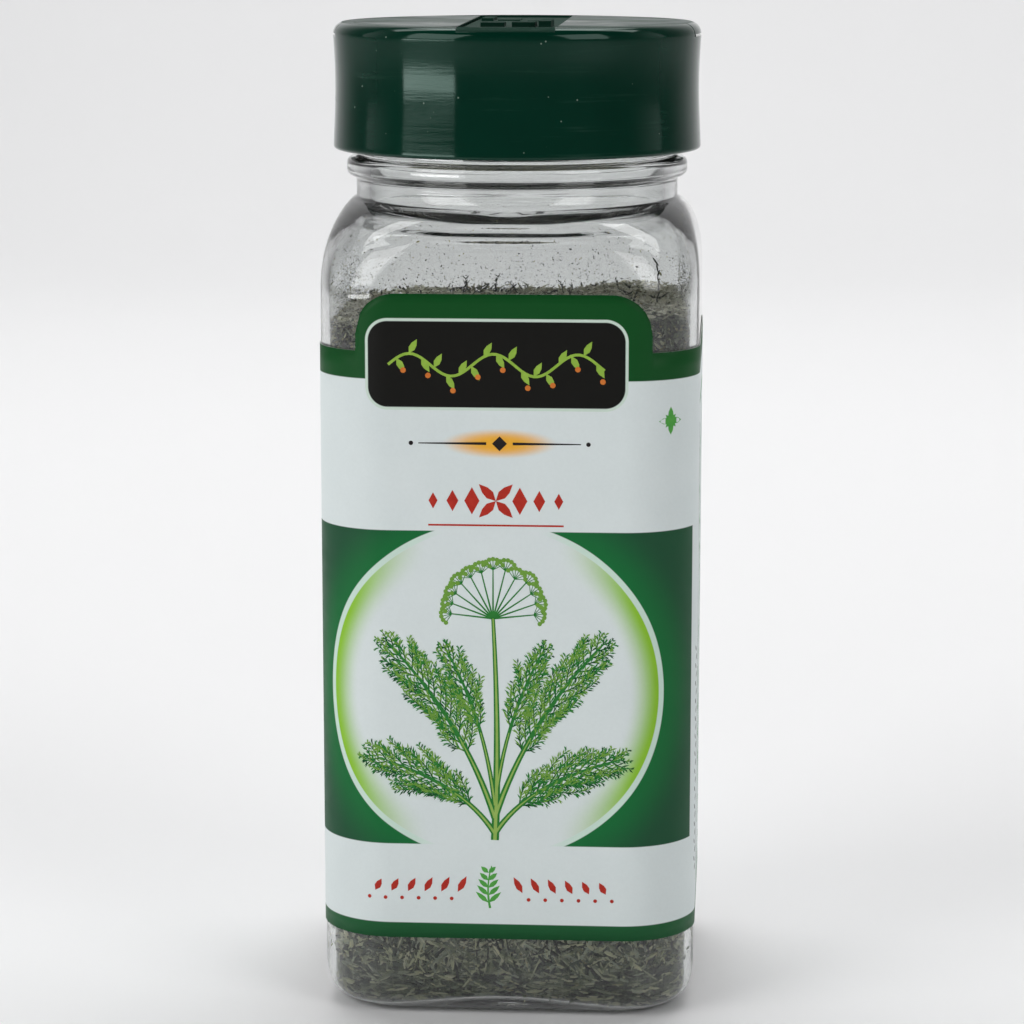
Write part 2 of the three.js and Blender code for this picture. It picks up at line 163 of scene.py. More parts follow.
class Finish:
    """A material under construction: short calls for the nodes that it is made of."""

    def __init__(self, name):
        self.material = bpy.data.materials.new(name)
        self.material.use_nodes = True
        self.tree = self.material.node_tree
        self.tree.nodes.clear()
        self.output = self.tree.nodes.new("ShaderNodeOutputMaterial")
        self.shader = self.tree.nodes.new("ShaderNodeBsdfPrincipled")
        self.tree.links.new(self.shader.outputs["BSDF"], self.output.inputs["Surface"])
        self.place = self.tree.nodes.new("ShaderNodeTexCoord").outputs["Object"]

    def put(self, socket, value):
        if isinstance(value, bpy.types.NodeSocket):
            self.tree.links.new(value, socket)
        elif value is not None:
            socket.default_value = value

    def shade(self, **values):
        for name, value in values.items():
            self.put(self.shader.inputs[name.replace("_", " ")], value)

    def math(self, operation, a, b=None, c=None, clamp=False):
        node = self.tree.nodes.new("ShaderNodeMath")
        node.operation = operation
        node.use_clamp = clamp
        for socket, value in zip(node.inputs, (a, b, c)):
            self.put(socket, value)
        return node.outputs[0]

    def product(self, first, *others):
        for value in others:
            first = self.math("MULTIPLY", first, value)
        return first

    def ramp(self, value, low, high, start=0.0, end=1.0):
        """A smooth step from start to end, while the value goes from low to high."""
        node = self.tree.nodes.new("ShaderNodeMapRange")
        node.interpolation_type = "SMOOTHSTEP"
        names = ("Value", "From Min", "From Max", "To Min", "To Max")
        for name, given in zip(names, (value, low, high, start, end)):
            self.put(node.inputs[name], given)
        return node.outputs[0]

    def within(self, value, low, high, edge):
        """1 between two values and 0 outside them, with a narrow soft edge."""
        above_low = self.ramp(value, low - edge, low + edge)
        return self.product(above_low, self.ramp(value, high + edge, high - edge))

    def length(self, x, y):
        squares = self.math("ADD", self.product(x, x), self.product(y, y))
        return self.math("SQRT", squares)

    def blend(self, share, a, b):
        node = self.tree.nodes.new("ShaderNodeMix")
        node.data_type = "RGBA"
        self.put(node.inputs[0], share)
        self.put(node.inputs[6], a)
        self.put(node.inputs[7], b)
        return node.outputs[2]

    def noise(self, scale, detail=3.0, stretch=(1, 1, 1), roughness=0.5):
        mapping = self.tree.nodes.new("ShaderNodeMapping")
        mapping.inputs["Scale"].default_value = stretch
        self.put(mapping.inputs["Vector"], self.place)
        node = self.tree.nodes.new("ShaderNodeTexNoise")
        self.put(node.inputs["Vector"], mapping.outputs[0])
        node.inputs["Scale"].default_value = scale
        node.inputs["Detail"].default_value = detail
        node.inputs["Roughness"].default_value = roughness
        return node.outputs["Fac"]

    def cells(self, scale):
        node = self.tree.nodes.new("ShaderNodeTexVoronoi")
        self.put(node.inputs["Vector"], self.place)
        node.inputs["Scale"].default_value = scale
        return node.outputs["Distance"]

    def bump(self, height, distance, strength=1.0):
        node = self.tree.nodes.new("ShaderNodeBump")
        node.inputs["Strength"].default_value = strength
        node.inputs["Distance"].default_value = distance
        self.put(node.inputs["Height"], height)
        self.put(self.shader.inputs["Normal"], node.outputs[0])

    def attribute(self, name):
        node = self.tree.nodes.new("ShaderNodeAttribute")
        node.attribute_name = name
        return node.outputs["Fac"]

    def split(self, place=None):
        """The x, y and z of a place, in metres: the place on the object where none is given."""
        node = self.tree.nodes.new("ShaderNodeSeparateXYZ")
        self.put(node.inputs[0], place or self.place)
        return node.outputs

    def height(self):
        return self.split()[2]

    def print_place(self):
        """Across and up on the unrolled label, in millimetres."""
        uv = self.tree.nodes.new("ShaderNodeUVMap")
        uv.uv_map = "print"
        u, v, _ = self.split(uv.outputs[0])
        across = self.math("MULTIPLY_ADD", u, PRINT_WIDTH, -PRINT_WIDTH / 2)
        return across, self.product(v, PRINT_HEIGHT)


def linear(hex_colour):
    """A colour as the eye reads it, such as "#1f5a34", in the linear values that shaders take."""
    parts = [int(hex_colour[i:i + 2], 16) / 255 for i in (1, 3, 5)]
    return tuple(p / 12.92 if p <= 0.04045 else ((p + 0.055) / 1.055) ** 2.4 for p in parts) + (1.0,)


def clear_plastic():
    """Clear moulded plastic with slow ripples, fine scuffs, a thin film and a cloudier base."""
    f = Finish("clear_bottle_plastic")
    ripple = f.noise(55, 2, stretch=(1, 1, 0.6))
    scuffs = f.ramp(f.noise(900, 4, stretch=(1, 1, 0.25)), 0.62, 0.75)
    film = f.ramp(f.noise(140, 4), 0.3, 0.75, 0.995, 0.975)
    cloudy_base = f.ramp(f.height(), 2.6 * MM, 0.6 * MM, 0.0, 0.12)
    f.shade(Base_Color=(0.825, 0.84, 0.835, 1), IOR=1.5)
    f.shade(Transmission_Weight=f.math("SUBTRACT", film, cloudy_base))
    f.shade(Roughness=f.math("MULTIPLY_ADD", scuffs, 0.1, 0.03))
    f.bump(ripple, 0.0004, 0.3)
    return f.material


def green_plastic():
    """Glossy green plastic with level scratches and pale specks, duller on the top and dull on the bridge."""
    f = Finish("green_cap_plastic")
    cloud = f.noise(70, 3)
    rub = f.noise(420, 5, stretch=(0.12, 0.12, 2.2), roughness=0.65)
    scratches = f.ramp(rub, 0.58, 0.72)
    specks = f.ramp(f.cells(430), 0.06, 0.02)
    green = f.blend(cloud, linear("#02251a"), linear("#043023"))
    green = f.blend(f.product(scratches, 0.12), green, linear("#3d5f52"))
    green = f.blend(f.product(specks, 0.5), green, linear("#9fb3a4"))
    f.shade(Base_Color=green, IOR=1.36, Specular_Tint=(0.72, 1.0, 0.9, 1))
    x, _, z = f.split()
    on_bridge = f.ramp(f.math("ABSOLUTE", x), (BRIDGE_HALF + 0.2) * MM, (BRIDGE_HALF + 0.1) * MM)
    on_bridge = f.product(on_bridge, f.ramp(z, (CAP_TOP - 0.6) * MM, (CAP_TOP - 0.4) * MM))
    on_top = f.ramp(z, (CAP_TOP - 0.15) * MM, (CAP_TOP - 0.03) * MM)
    rough = f.math("MULTIPLY_ADD", scratches, 0.09, 0.09)
    rough = f.math("MULTIPLY_ADD", f.product(on_top, f.noise(120, 3)), 0.6, rough)
    f.shade(Roughness=f.math("MULTIPLY_ADD", on_bridge, 0.75, rough, clamp=True))
    worn = f.product(on_bridge, f.noise(900, 4))
    fine = f.math("ADD", f.product(rub, 0.35), f.product(specks, 0.5))
    f.bump(f.math("MULTIPLY_ADD", worn, 9.0, fine), 0.00005, 0.5)
    return f.material


def satin_print(f, colour):
    """The satin of printed paper, under any colour."""
    f.shade(Base_Color=colour, IOR=1.24)
    f.shade(Roughness=f.math("MULTIPLY_ADD", f.noise(500, 3), 0.2, 0.36))


def window_print(f, across, up, edge):
    """The round window in the green field: the share of field, of pale ring and of glow inside the ring."""
    right_of = f.math("SUBTRACT", across, WINDOW_X)
    distance = f.length(right_of, f.math("SUBTRACT", up, WINDOW_Z))
    in_field = f.product(f.within(up, FIELD_BOTTOM, FIELD_TOP, edge),
                         f.within(across, FIELD_LEFT, FIELD_RIGHT, edge))
    outside = f.ramp(distance, WINDOW_RADIUS - edge, WINDOW_RADIUS + edge)
    sideways = f.math("DIVIDE", f.math("ABSOLUTE", right_of), WINDOW_RADIUS)
    inside = f.ramp(distance, WINDOW_RADIUS - 0.6, WINDOW_RADIUS - 0.75)
    not_inside = f.math("SUBTRACT", 1.0, inside)
    ring = f.product(f.math("SUBTRACT", 1.0, outside), not_inside, in_field, f.ramp(sideways, 0.25, 0.5))
    fade = f.ramp(distance, WINDOW_RADIUS - 4.6, WINDOW_RADIUS - 0.85)
    glow = f.product(f.ramp(sideways, 0.35, 0.85), fade, inside, in_field)
    shade = f.ramp(distance, WINDOW_RADIUS - 0.5, WINDOW_RADIUS + 6)
    field = f.blend(shade, linear("#166e38"), linear("#1e5035"))
    return field, f.product(in_field, outside), ring, glow


def panel_reach(f, across, up):
    """Distance from the inner box of the dark panel, so that the panel gets round corners."""
    box_x = f.math("ABSOLUTE", f.math("SUBTRACT", across, PANEL_X))
    box_x = f.math("SUBTRACT", box_x, PANEL_HALF_WIDTH - PANEL_CORNER)
    box_z = f.math("ABSOLUTE", f.math("SUBTRACT", up, PANEL_Z))
    box_z = f.math("SUBTRACT", box_z, PANEL_HALF_HEIGHT - PANEL_CORNER)
    return f.length(f.math("MAXIMUM", box_x, 0.0), f.math("MAXIMUM", box_z, 0.0))


def label_print():
    """The label's printed ground, from the paper up to the dark panel."""
    f = Finish("label_print")
    across, up = f.print_place()
    edge = 0.06
    grain = f.noise(2600, 2)
    field, field_share, ring, glow = window_print(f, across, up, edge)
    reach = panel_reach(f, across, up)
    outline_reach = PANEL_CORNER + 0.35
    amber_x = f.math("DIVIDE", f.math("SUBTRACT", across, RULE_X), 7.2)
    amber_z = f.math("DIVIDE", f.math("SUBTRACT", up, RULE_Z), 1.9)
    amber_reach = f.math("ADD", f.product(amber_x, amber_x), f.product(amber_z, amber_z))
    colour = f.blend(f.noise(160, 3), linear("#dbe4e4"), linear("#e3ebeb"))
    for share, ink in (
        (glow, linear("#8fc534")),
        (ring, linear("#cfe6d9")),
        (field_share, field),
        (f.ramp(amber_reach, 1.0, 0.05), linear("#f2b13a")),
        (f.ramp(up, FOOT_STRIPE_Z + edge, FOOT_STRIPE_Z - edge), linear("#1e5a33")),
        (f.ramp(up, TOP_BAND_Z - edge, TOP_BAND_Z + edge), linear("#0b4c1e")),
        (f.ramp(reach, outline_reach + edge, outline_reach - edge), linear("#cfe0d4")),
        (f.ramp(reach, PANEL_CORNER + edge, PANEL_CORNER - edge), linear("#131210")),
        (f.product(grain, 0.05), linear("#26332b")),
    ):
        colour = f.blend(share, colour, ink)
    satin_print(f, colour)
    wrinkle = f.noise(35, 2, stretch=(1, 1, 0.4))
    f.bump(f.math("ADD", f.product(grain, 0.04), wrinkle), 0.00025, 0.3)
    return f.material


def printed_ink(name, dark, light):
    f = Finish(name)
    satin_print(f, f.blend(f.noise(1100, 3), linear(dark), linear(light)))
    f.bump(f.noise(2600, 2), 0.00001, 0.3)
    return f.material


def paper_back():
    f = Finish("label_paper_back")
    fibre = f.noise(1800, 4)
    f.shade(Base_Color=f.blend(fibre, linear("#cfd4d0"), linear("#e4e7e3")), Roughness=0.7)
    f.bump(fibre, 0.00003, 0.4)
    return f.material


def dry_leaf(name, dark, middle, light):
    """Dry leaf whose shade follows each bit's own tone, with streaks along it."""
    f = Finish(name)
    tone = f.attribute("tone")
    streak = f.noise(1500, 4)
    shade = f.math("MULTIPLY_ADD", f.math("SUBTRACT", streak, 0.5), 0.7, tone)
    low = f.blend(f.ramp(shade, 0.1, 0.55), linear(dark), linear(middle))
    f.shade(Base_Color=f.blend(f.ramp(shade, 0.5, 1.0), low, linear(light)))
    f.shade(Roughness=0.8, IOR=1.36)
    f.bump(streak, 0.00008, 0.6)
    return f.material


def heap_core():
    """The mass behind the bits: leaf colour darkened in patches as painted shadow for the gaps between bits,
    and pale strands that stand or lie.
    """
    f = Finish("dill_heap_painted_shade")
    fine = f.noise(1100, 5, roughness=0.75)
    upright = f.noise(1500, 3, stretch=(1, 1, 0.2))
    level = f.noise(1300, 3, stretch=(0.22, 0.22, 1))
    strand = f.math("MAXIMUM", upright, level)
    # Painted shade: the dark colour stands in for the shadow deep in the gaps between the bits, mixed with the
    # leaf colour.
    tone = f.blend(f.ramp(fine, 0.42, 0.6), linear("#191d15"), linear("#6c735b"))
    tone = f.blend(f.ramp(strand, 0.58, 0.66), tone, linear("#a3aa90"))
    tone = f.blend(f.product(f.noise(260, 3), 0.4), tone, linear("#3f4136"))
    f.shade(Base_Color=tone, Roughness=0.9, IOR=1.3)
    f.bump(f.cells(1500), 0.0003, 1.0)
    return f.material


def liner_foam():
    f = Finish("liner_foam")
    f.shade(Base_Color=f.blend(f.noise(300, 3), linear("#e2dfd4"), linear("#f0eee6")), Roughness=0.62)
    f.bump(f.cells(3500), 0.00005, 0.5)
    return f.material


def studio_floor():
    f = Finish("studio_floor")
    pale = f.blend(f.noise(6, 3), (0.86, 0.86, 0.865, 1), (0.88, 0.88, 0.885, 1))
    f.shade(Base_Color=pale, Roughness=0.55)
    f.bump(f.noise(400, 2), 0.0001, 0.1)
    return f.material


# Shapes


def square_reach(angle, half, corner):
    """From the axis to a square with rounded corners, in one direction."""
    quarter = math.pi / 2
    turn = angle % quarter
    near = min(turn, quarter - turn)
    centre = half - corner
    flat = half / math.cos(near)
    if flat * math.sin(near) <= centre:
        return flat
    across = centre * (math.cos(near) - math.sin(near))
    return centre * (math.cos(near) + math.sin(near)) + math.sqrt(corner * corner - across * across)


def add_piece(name, bm, material, body, *stands_for, record_slot, smooth=True):
    """The finished mesh of a bmesh as a piece of the object."""
    mesh = bpy.data.meshes.new(name)
    bm.to_mesh(mesh)
    bm.free()
    for face in mesh.polygons:
        face.use_smooth = smooth
    piece = bpy.data.objects.new(name, mesh)
    bpy.context.scene.collection.objects.link(piece)
    mesh.materials.append(material)
    if stands_for:
        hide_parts(*stands_for)
    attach(piece, body)
    return piece


def made_verts(made):
    return [part for part in made["geom"] if isinstance(part, bmesh.types.BMVert)]


def around(centre_x, centre_y, radius, steps):
    """The corners of a regular outline round a centre."""
    for i in range(steps):
        turn = 2 * math.pi * i / steps
        yield centre_x + radius * math.cos(turn), centre_y + radius * math.sin(turn)


def spun(outline, steps=AROUND, settle=None):
    """An outline of radius and height in millimetres, spun about Z. settle may move each vertex."""
    bm = bmesh.new()
    index = bm.verts.layers.int.new("ring")
    verts = []
    for number, (radius, height) in enumerate(outline):
        vert = bm.verts.new((radius * MM, 0, height * MM))
        vert[index] = number
        verts.append(vert)
    edges = [bm.edges.new(pair) for pair in zip(verts, verts[1:])]
    bmesh.ops.spin(bm, geom=verts + edges, cent=(0, 0, 0), axis=(0, 0, 1), angle=2 * math.pi,
                   steps=steps, use_merge=True)
    if settle:
        for vert in bm.verts:
            vert.co = settle(vert.co / MM, vert[index]) * MM
    bmesh.ops.remove_doubles(bm, verts=bm.verts, dist=1e-7)
    bmesh.ops.recalc_face_normals(bm, faces=bm.faces)
    return bm


def shoulder(share, inset):
    """The shoulder's half width, corner radius and height, from the body at 0 to the neck at 1."""
    centre = (BODY_HALF - BODY_CORNER) * (1 - share ** 2.2)
    bulge = (1 - share ** 3) ** 0.78
    half = NECK_WAIST + (BODY_HALF - NECK_WAIST) * bulge - inset
    height = SHOULDER_START + (SHOULDER_END - SHOULDER_START) * share
    return half, half - centre, height - inset * share * 0.6


def arc(centre_r, centre_z, radius, start, end, steps):
    """Points on a quarter or other part of a circle, with angles in degrees from the +r direction."""
    for i in range(steps + 1):
        turn = math.radians(start + (end - start) * i / steps)
        yield centre_r + radius * math.cos(turn), centre_z + radius * math.sin(turn)


def bezier(p0, p1, p2, p3, steps):
    """Points along a curve, without its first point."""
    for i in range(1, steps + 1):
        t = i / steps
        s = 1 - t
        yield tuple(s ** 3 * a + 3 * s * s * t * b + 3 * s * t * t * c + t ** 3 * d
                    for a, b, c, d in zip(p0, p1, p2, p3))


def thread_rise(angle, height, start_angle, start_z, side):
    """How far the thread stands out of the wall at this place, in millimetres."""
    rise = 0.0
    for turn in (0, 1, 2):
        wound = (angle - start_angle) % (2 * math.pi) + 2 * math.pi * turn
        share = wound / (2 * math.pi * THREAD_TURNS)
        if share > 1:
            continue
        offset = abs(height - start_z - wound / (2 * math.pi) * PITCH)
        slope = (THREAD_FOOT / 2 - offset) / ((THREAD_FOOT - THREAD_CREST) / 2)
        fade = min(1.0, 9 * min(share, 1 - share))
        rise = max(rise, min(1.0, max(0.0, slope)) * fade)
    return side * THREAD_HEIGHT * rise


def base_wave(angle, reach, height):
    """The base is thickest at the middle of each side and thinnest at each corner, under the heel."""
    fade = max(0.0, min(1.0, (HEEL_INNER_Z + 1 - height) / 2.5))
    return FLOOR_WAVE * math.cos(4 * angle) * min(1.0, reach / FOOT_INNER) * fade


def corner_rich(place):
    """The direction of a place from the axis, drawn towards the corners, which need more steps."""
    even = math.atan2(place.y, place.x)
    return even + 0.11 * math.sin(4 * even)


def basin(inset):
    """The inside of the base from the wall to the axis, drawn in by inset, as half width and height."""
    half = BODY_HALF - WALL - inset
    floor, low = PUSH_UP + FLOOR_THICKNESS + inset, FLOOR_LOW + inset
    ring = (half - 3.2, low)
    heel = bezier((half, HEEL_INNER_Z + 1), (half, low + 0.7), (half - 0.2, low), ring, 14)
    return [*heel, *bezier(ring, (13, low), (8, floor), (0, floor), 14)]


def foot_and_wall():
    """The outside from the raised middle of the base, over the foot ring, up to the shoulder."""
    foot_corner = 7.6
    rows = [(0.0, 0.0, PUSH_UP, "wall")]
    under = bezier((0, PUSH_UP), (8, PUSH_UP), (12, 0.7), (FOOT_INNER, 0), 14)
    rows += [(r, min(r, 8.0), z, "wall") for r, z in under]
    rows += [(FOOT_INNER + 1, 7.4, 0, "wall"), (FOOT_OUTER, foot_corner, 0, "wall")]
    heel_top = (BODY_HALF, HEEL_OUTER_Z + 0.4)
    heel = bezier((FOOT_OUTER, 0), (BODY_HALF - 1.1, 0.0), (BODY_HALF, 1.6), heel_top, 14)
    opening = (BODY_CORNER - foot_corner) / (BODY_HALF - FOOT_OUTER)
    rows += [(r, foot_corner + opening * (r - FOOT_OUTER), z, "wall") for r, z in heel]
    return rows + [(BODY_HALF, BODY_CORNER, z, "wall") for z in WALL_LEVELS]


def neck_outside():
    """The waist under the bead, the rounded bead, and the step back to the threaded neck."""
    low, high = BEAD_BOTTOM + BEAD_ROUND, BEAD_TOP - BEAD_ROUND
    round_in = BEAD_RADIUS - BEAD_ROUND
    under_bead = (round_in, BEAD_BOTTOM)
    rows = list(bezier((NECK_WAIST, 100.9), (NECK_WAIST, 101.9), (NECK_WAIST, 102.4), under_bead, 6))
    rows += arc(round_in, low, BEAD_ROUND, -75, 0, 8)
    rows += arc(round_in, high, BEAD_ROUND, 0, 80, 8)
    rows += bezier((round_in, BEAD_TOP), (NECK_RADIUS + 0.3, BEAD_TOP + 0.05), (NECK_RADIUS, BEAD_TOP + 0.2),
                   (NECK_RADIUS, BEAD_TOP + 0.5), 5)
    return [(r, r, z, "wall") for r, z in rows]


def thread_wall():
    start, end, steps = 105.4, LIP_Z - 0.5, 56
    return [(NECK_RADIUS, NECK_RADIUS, start + (end - start) * i / steps, "thread") for i in range(steps + 1)]


def jar_outline():
    """The jar's wall as (half width, corner radius, height, kind), outside up and inside down."""
    rows = foot_and_wall()
    rows += [(*shoulder(i / 30, 0), "wall") for i in range(31)]
    rows += neck_outside() + thread_wall()
    lip = list(arc(NECK_RADIUS - LIP_ROUND, LIP_Z - LIP_ROUND, LIP_ROUND, 0, 90, 4))
    lip += arc(BORE_RADIUS + LIP_ROUND, LIP_Z - LIP_ROUND, LIP_ROUND, 90, 180, 4)
    lip += [(BORE_RADIUS, z) for z in (114, 110, 108, 106.6, 105, 103, 101.5)]
    rows += [(r, r, z, "wall") for r, z in lip]
    thicker = NECK_WAIST - WALL - BORE_RADIUS
    rows += [(*shoulder(i / 48, WALL + thicker * (i / 48) ** 3), "ripple") for i in range(48, -1, -1)]
    half, corner = BODY_HALF - WALL, BODY_CORNER - WALL
    rows += [(half, corner, z, "wall") for z in reversed(WALL_LEVELS)]
    rows += [(r, min(r, corner - min(1.0, 0.3 * (half - r))), z, "floor") for r, z in basin(0)]
    return rows


def ripple(angle, height):
    """Waves that the blowing leaves inside the top of the shoulder, deepest at the front and the back."""
    share = (height - RIPPLE_LOW) / (RIPPLE_HIGH - RIPPLE_LOW)
    if not 0 < share < 1:
        return 0.0
    depth = RIPPLE_DEPTH * math.sin(math.pi * share) * (0.5 - 0.5 * math.cos(2 * angle)) ** 3
    return depth * math.sin(2 * math.pi * (height - RIPPLE_LOW) / RIPPLE_PITCH)


def jar_glass():
    rows = jar_outline()

    def settle(place, number):
        half, corner, height, kind = rows[number]
        if half < 1e-6:
            return Vector((0, 0, height))
        angle = corner_rich(place)
        reach = square_reach(angle, half, min(corner, half))
        if kind == "thread":
            reach += thread_rise(angle, height, 0.0, THREAD_START_Z, 1)
        if kind == "ripple":
            reach += ripple(angle, height)
        if kind == "floor":
            height += base_wave(angle, half, height)
        return Vector((reach * math.cos(angle), reach * math.sin(angle), height))

    bm = spun([(half, height) for half, corner, height, kind in rows], settle=settle)
    add_piece("jar_body", bm, clear_plastic(), "jar", "jar", record_slot="clear_plastic")


def wrap(across, up, lift):
    """A place on the unrolled label, in millimetres, laid on the jar's wall at that height off it."""
    centre = BODY_HALF - BODY_CORNER
    bend = BODY_CORNER + LABEL_LIFT
    side = 2 * centre + bend * math.pi / 2
    along = across + centre
    quarter = math.floor(along / side)
    along -= quarter * side
    if along <= 2 * centre:
        x, y = along - centre, -(BODY_HALF + lift)
    else:
        turn = (along - 2 * centre) / bend
        x = centre + (BODY_CORNER + lift) * math.sin(turn)
        y = -centre - (BODY_CORNER + lift) * math.cos(turn)
    return Vector((*(Matrix.Rotation(quarter * math.pi / 2, 2) @ Vector((x, y))), up))


def label_wrap():
    """The printed wrap: a flat sheet with a raised tab, rolled round the body and given its thickness."""
    centre = BODY_HALF - BODY_CORNER
    girth = 4 * (2 * centre + (BODY_CORNER + LABEL_LIFT) * math.pi / 2)
    half_length = (girth - LABEL_SEAM) / 2
    columns, rows, lift_steps = 320, 36, 6
    bm = bmesh.new()
    bmesh.ops.create_grid(bm, x_segments=columns, y_segments=rows, size=1.0)
    step = 2 * half_length / columns
    for vert in bm.verts:
        across = vert.co.x * half_length
        for stop in (TAB_LEFT, TAB_RIGHT):
            if abs(across - stop) <= step / 2:
                across = stop
        up = LABEL_BOTTOM + (vert.co.y + 1) / 2 * (LABEL_TOP - LABEL_BOTTOM)
        vert.co = Vector((across, up, 0))

    def tab_height(across):
        inward = min(across - TAB_LEFT, TAB_RIGHT - across)
        if inward >= TAB_CORNER:
            return TAB_TOP
        return TAB_TOP - TAB_CORNER + math.sqrt(max(0.0, TAB_CORNER ** 2 - (TAB_CORNER - inward) ** 2))

    def under_tab(vert):
        return vert.co.y > LABEL_TOP - 0.01 and TAB_LEFT - 0.01 < vert.co.x < TAB_RIGHT + 0.01

    top = [edge for edge in bm.edges if all(under_tab(vert) for vert in edge.verts)]
    for number in range(1, lift_steps + 1):
        made = bmesh.ops.extrude_edge_only(bm, edges=top)
        top = [part for part in made["geom"] if isinstance(part, bmesh.types.BMEdge)]
        for vert in made_verts(made):
            vert.co.y = LABEL_TOP + (tab_height(vert.co.x) - LABEL_TOP) * number / lift_steps
    uv = bm.loops.layers.uv.new("print")
    for face in bm.faces:
        for loop in face.loops:
            loop[uv].uv = (loop.vert.co.x / PRINT_WIDTH + 0.5, loop.vert.co.y / PRINT_HEIGHT)
    for vert in bm.verts:
        vert.co = wrap(vert.co.x, vert.co.y, LABEL_LIFT) * MM
    bmesh.ops.recalc_face_normals(bm, faces=bm.faces)
    first = next(iter(bm.faces))
    if first.normal.dot(first.calc_center_median() * Vector((1, 1, 0))) < 0:
        bmesh.ops.reverse_faces(bm, faces=bm.faces)
    piece = add_piece("label_wrap", bm, label_print(), "jar", "label", record_slot="label_film")
    piece.data.materials.append(paper_back())
    shell = piece.modifiers.new("paper", "SOLIDIFY")
    shell.thickness = LABEL_THICKNESS * MM
    shell.offset = -1
    shell.material_offset = 1
    shell.material_offset_rim = 1


class Stencil:
    """Small flat marks in one ink, each a thin plate that stands a few thousandths of a millimetre proud."""

    def __init__(self, layer=0):
        self.bm = bmesh.new()
        layers = self.bm.verts.layers.float
        self.across, self.up, self.high = layers.new("across"), layers.new("up"), layers.new("high")
        self.lift = LABEL_LIFT + INK_STEP * (layer + 1)
        self.rng = random.Random(layer + 1)

    def mark(self, across, up, turn, shape):
        """A closed outline in its own axes, turned and set at a place on the label."""
        spin = Matrix.Rotation(turn, 2)
        lift = self.lift + self.rng.uniform(0, 0.006)
        verts = []
        for x, y in shape:
            point = spin @ Vector((x, y))
            vert = self.bm.verts.new(wrap(across + point.x, up + point.y, LABEL_LIFT - INK_SUNK) * MM)
            vert[self.across] = across + point.x
            vert[self.up] = up + point.y
            vert[self.high] = lift
            verts.append(vert)
        self.bm.faces.new(verts)

    def leaf(self, across, up, turn, length, width):
        shape = ((0, 0), (0.35, -0.42), (0.65, -0.36), (1, 0), (0.65, 0.36), (0.35, 0.42))
        self.mark(across, up, turn, [(length * x, width * y) for x, y in shape])

    def needle(self, across, up, turn, length, width):
        shape = ((0, 0), (0.5, -0.5), (1, 0), (0.5, 0.5))
        self.mark(across, up, turn, [(length * x, width * y) for x, y in shape])

    def diamond(self, across, up, half_width, half_height):
        self.mark(across, up, 0, [(-half_width, 0), (0, -half_height), (half_width, 0), (0, half_height)])

    def dot(self, across, up, radius, sides=12):
        self.mark(across, up, 0, around(0, 0, radius, sides))

    def stroke(self, path, start_width, end_width):
        """One tapering ribbon along a list of places."""
        left, right = [], []
        last = len(path) - 1
        for number, (x, y) in enumerate(path):
            before = path[max(0, number - 1)]
            after = path[min(last, number + 1)]
            turn = math.atan2(after[1] - before[1], after[0] - before[0]) + math.pi / 2
            half = (start_width + (end_width - start_width) * number / last) / 2
            left.append((x + half * math.cos(turn), y + half * math.sin(turn)))
            right.append((x - half * math.cos(turn), y - half * math.sin(turn)))
        for number in range(last):
            self.mark(0, 0, 0, [right[number], right[number + 1], left[number + 1], left[number]])

    def finish(self, name, material):
        """Raises every mark off the label at once."""
        for vert in made_verts(bmesh.ops.extrude_face_region(self.bm, geom=self.bm.faces[:])):
            vert.co = wrap(vert[self.across], vert[self.up], vert[self.high]) * MM
        bmesh.ops.recalc_face_normals(self.bm, faces=self.bm.faces)
        add_piece(name, self.bm, material, "jar", record_slot="label_film", smooth=False)


def polar(start, reach, turn):
    """The place at a distance from another, in a direction."""
    return start[0] + reach * math.cos(turn), start[1] + reach * math.sin(turn)


def curve_path(start, bend, end, steps):
    points = []
    for i in range(steps + 1):
        t = i / steps
        weights = (1 - t) ** 2, 2 * t * (1 - t), t * t
        points.append(tuple(sum(w * p for w, p in zip(weights, places)) for places in zip(start, bend, end)))
    return points


def along_path(path, share):
    """The place at a share of a path's points, and the direction there."""
    spot = share * (len(path) - 1)
    low = min(int(spot), len(path) - 2)
    (x0, y0), (x1, y1) = path[low], path[low + 1]
    return (x0 + (x1 - x0) * (spot - low), y0 + (y1 - y0) * (spot - low)), math.atan2(y1 - y0, x1 - x0)


def frond(inks, rng, path, reach, pairs):
    """A feathery leaf: a curved rib with side branches, each edged with needles that lean forward."""
    for row in range(pairs):
        share = 0.06 + 0.94 * row / (pairs - 1)
        root, heading = along_path(path, share)
        size = reach * max(0.2, math.sin(math.pi * (0.24 + 0.7 * share)) ** 0.8) * rng.uniform(0.8, 1.12)
        for side in (-1, 1):
            turn = heading + side * rng.uniform(0.55, 0.85)
            tip_turn = turn - side * rng.uniform(0.15, 0.4)
            bend = curve_path(root, polar(root, 0.55 * size, turn), polar(root, size, tip_turn), 5)
            inks[0].stroke(bend, 0.2, 0.09)
            twigs = max(3, int(size * 2.5))
            for twig in range(twigs):
                along = 0.1 + 0.9 * twig / (twigs - 1)
                fork_at, _ = along_path(bend, along)
                for hand in (-1, 1):
                    fork = tip_turn + hand * rng.uniform(0.25, 0.75)
                    length = rng.uniform(0.75, 1.35) * (1.1 - 0.4 * along) * min(1.0, 0.35 + size / 4)
                    lit = math.sin(fork) > 0.1
                    pick = rng.random() + (0.28 if lit else -0.12)
                    ink = inks[0 if pick < 0.38 else 1 if pick < 0.82 else 2]
                    ink.needle(*fork_at, fork, length, 0.2)
                    if rng.random() < 0.6:
                        split_at = polar(fork_at, 0.45 * length, fork)
                        ink.needle(*split_at, fork + hand * rng.uniform(0.3, 0.7), length * 0.6, 0.16)


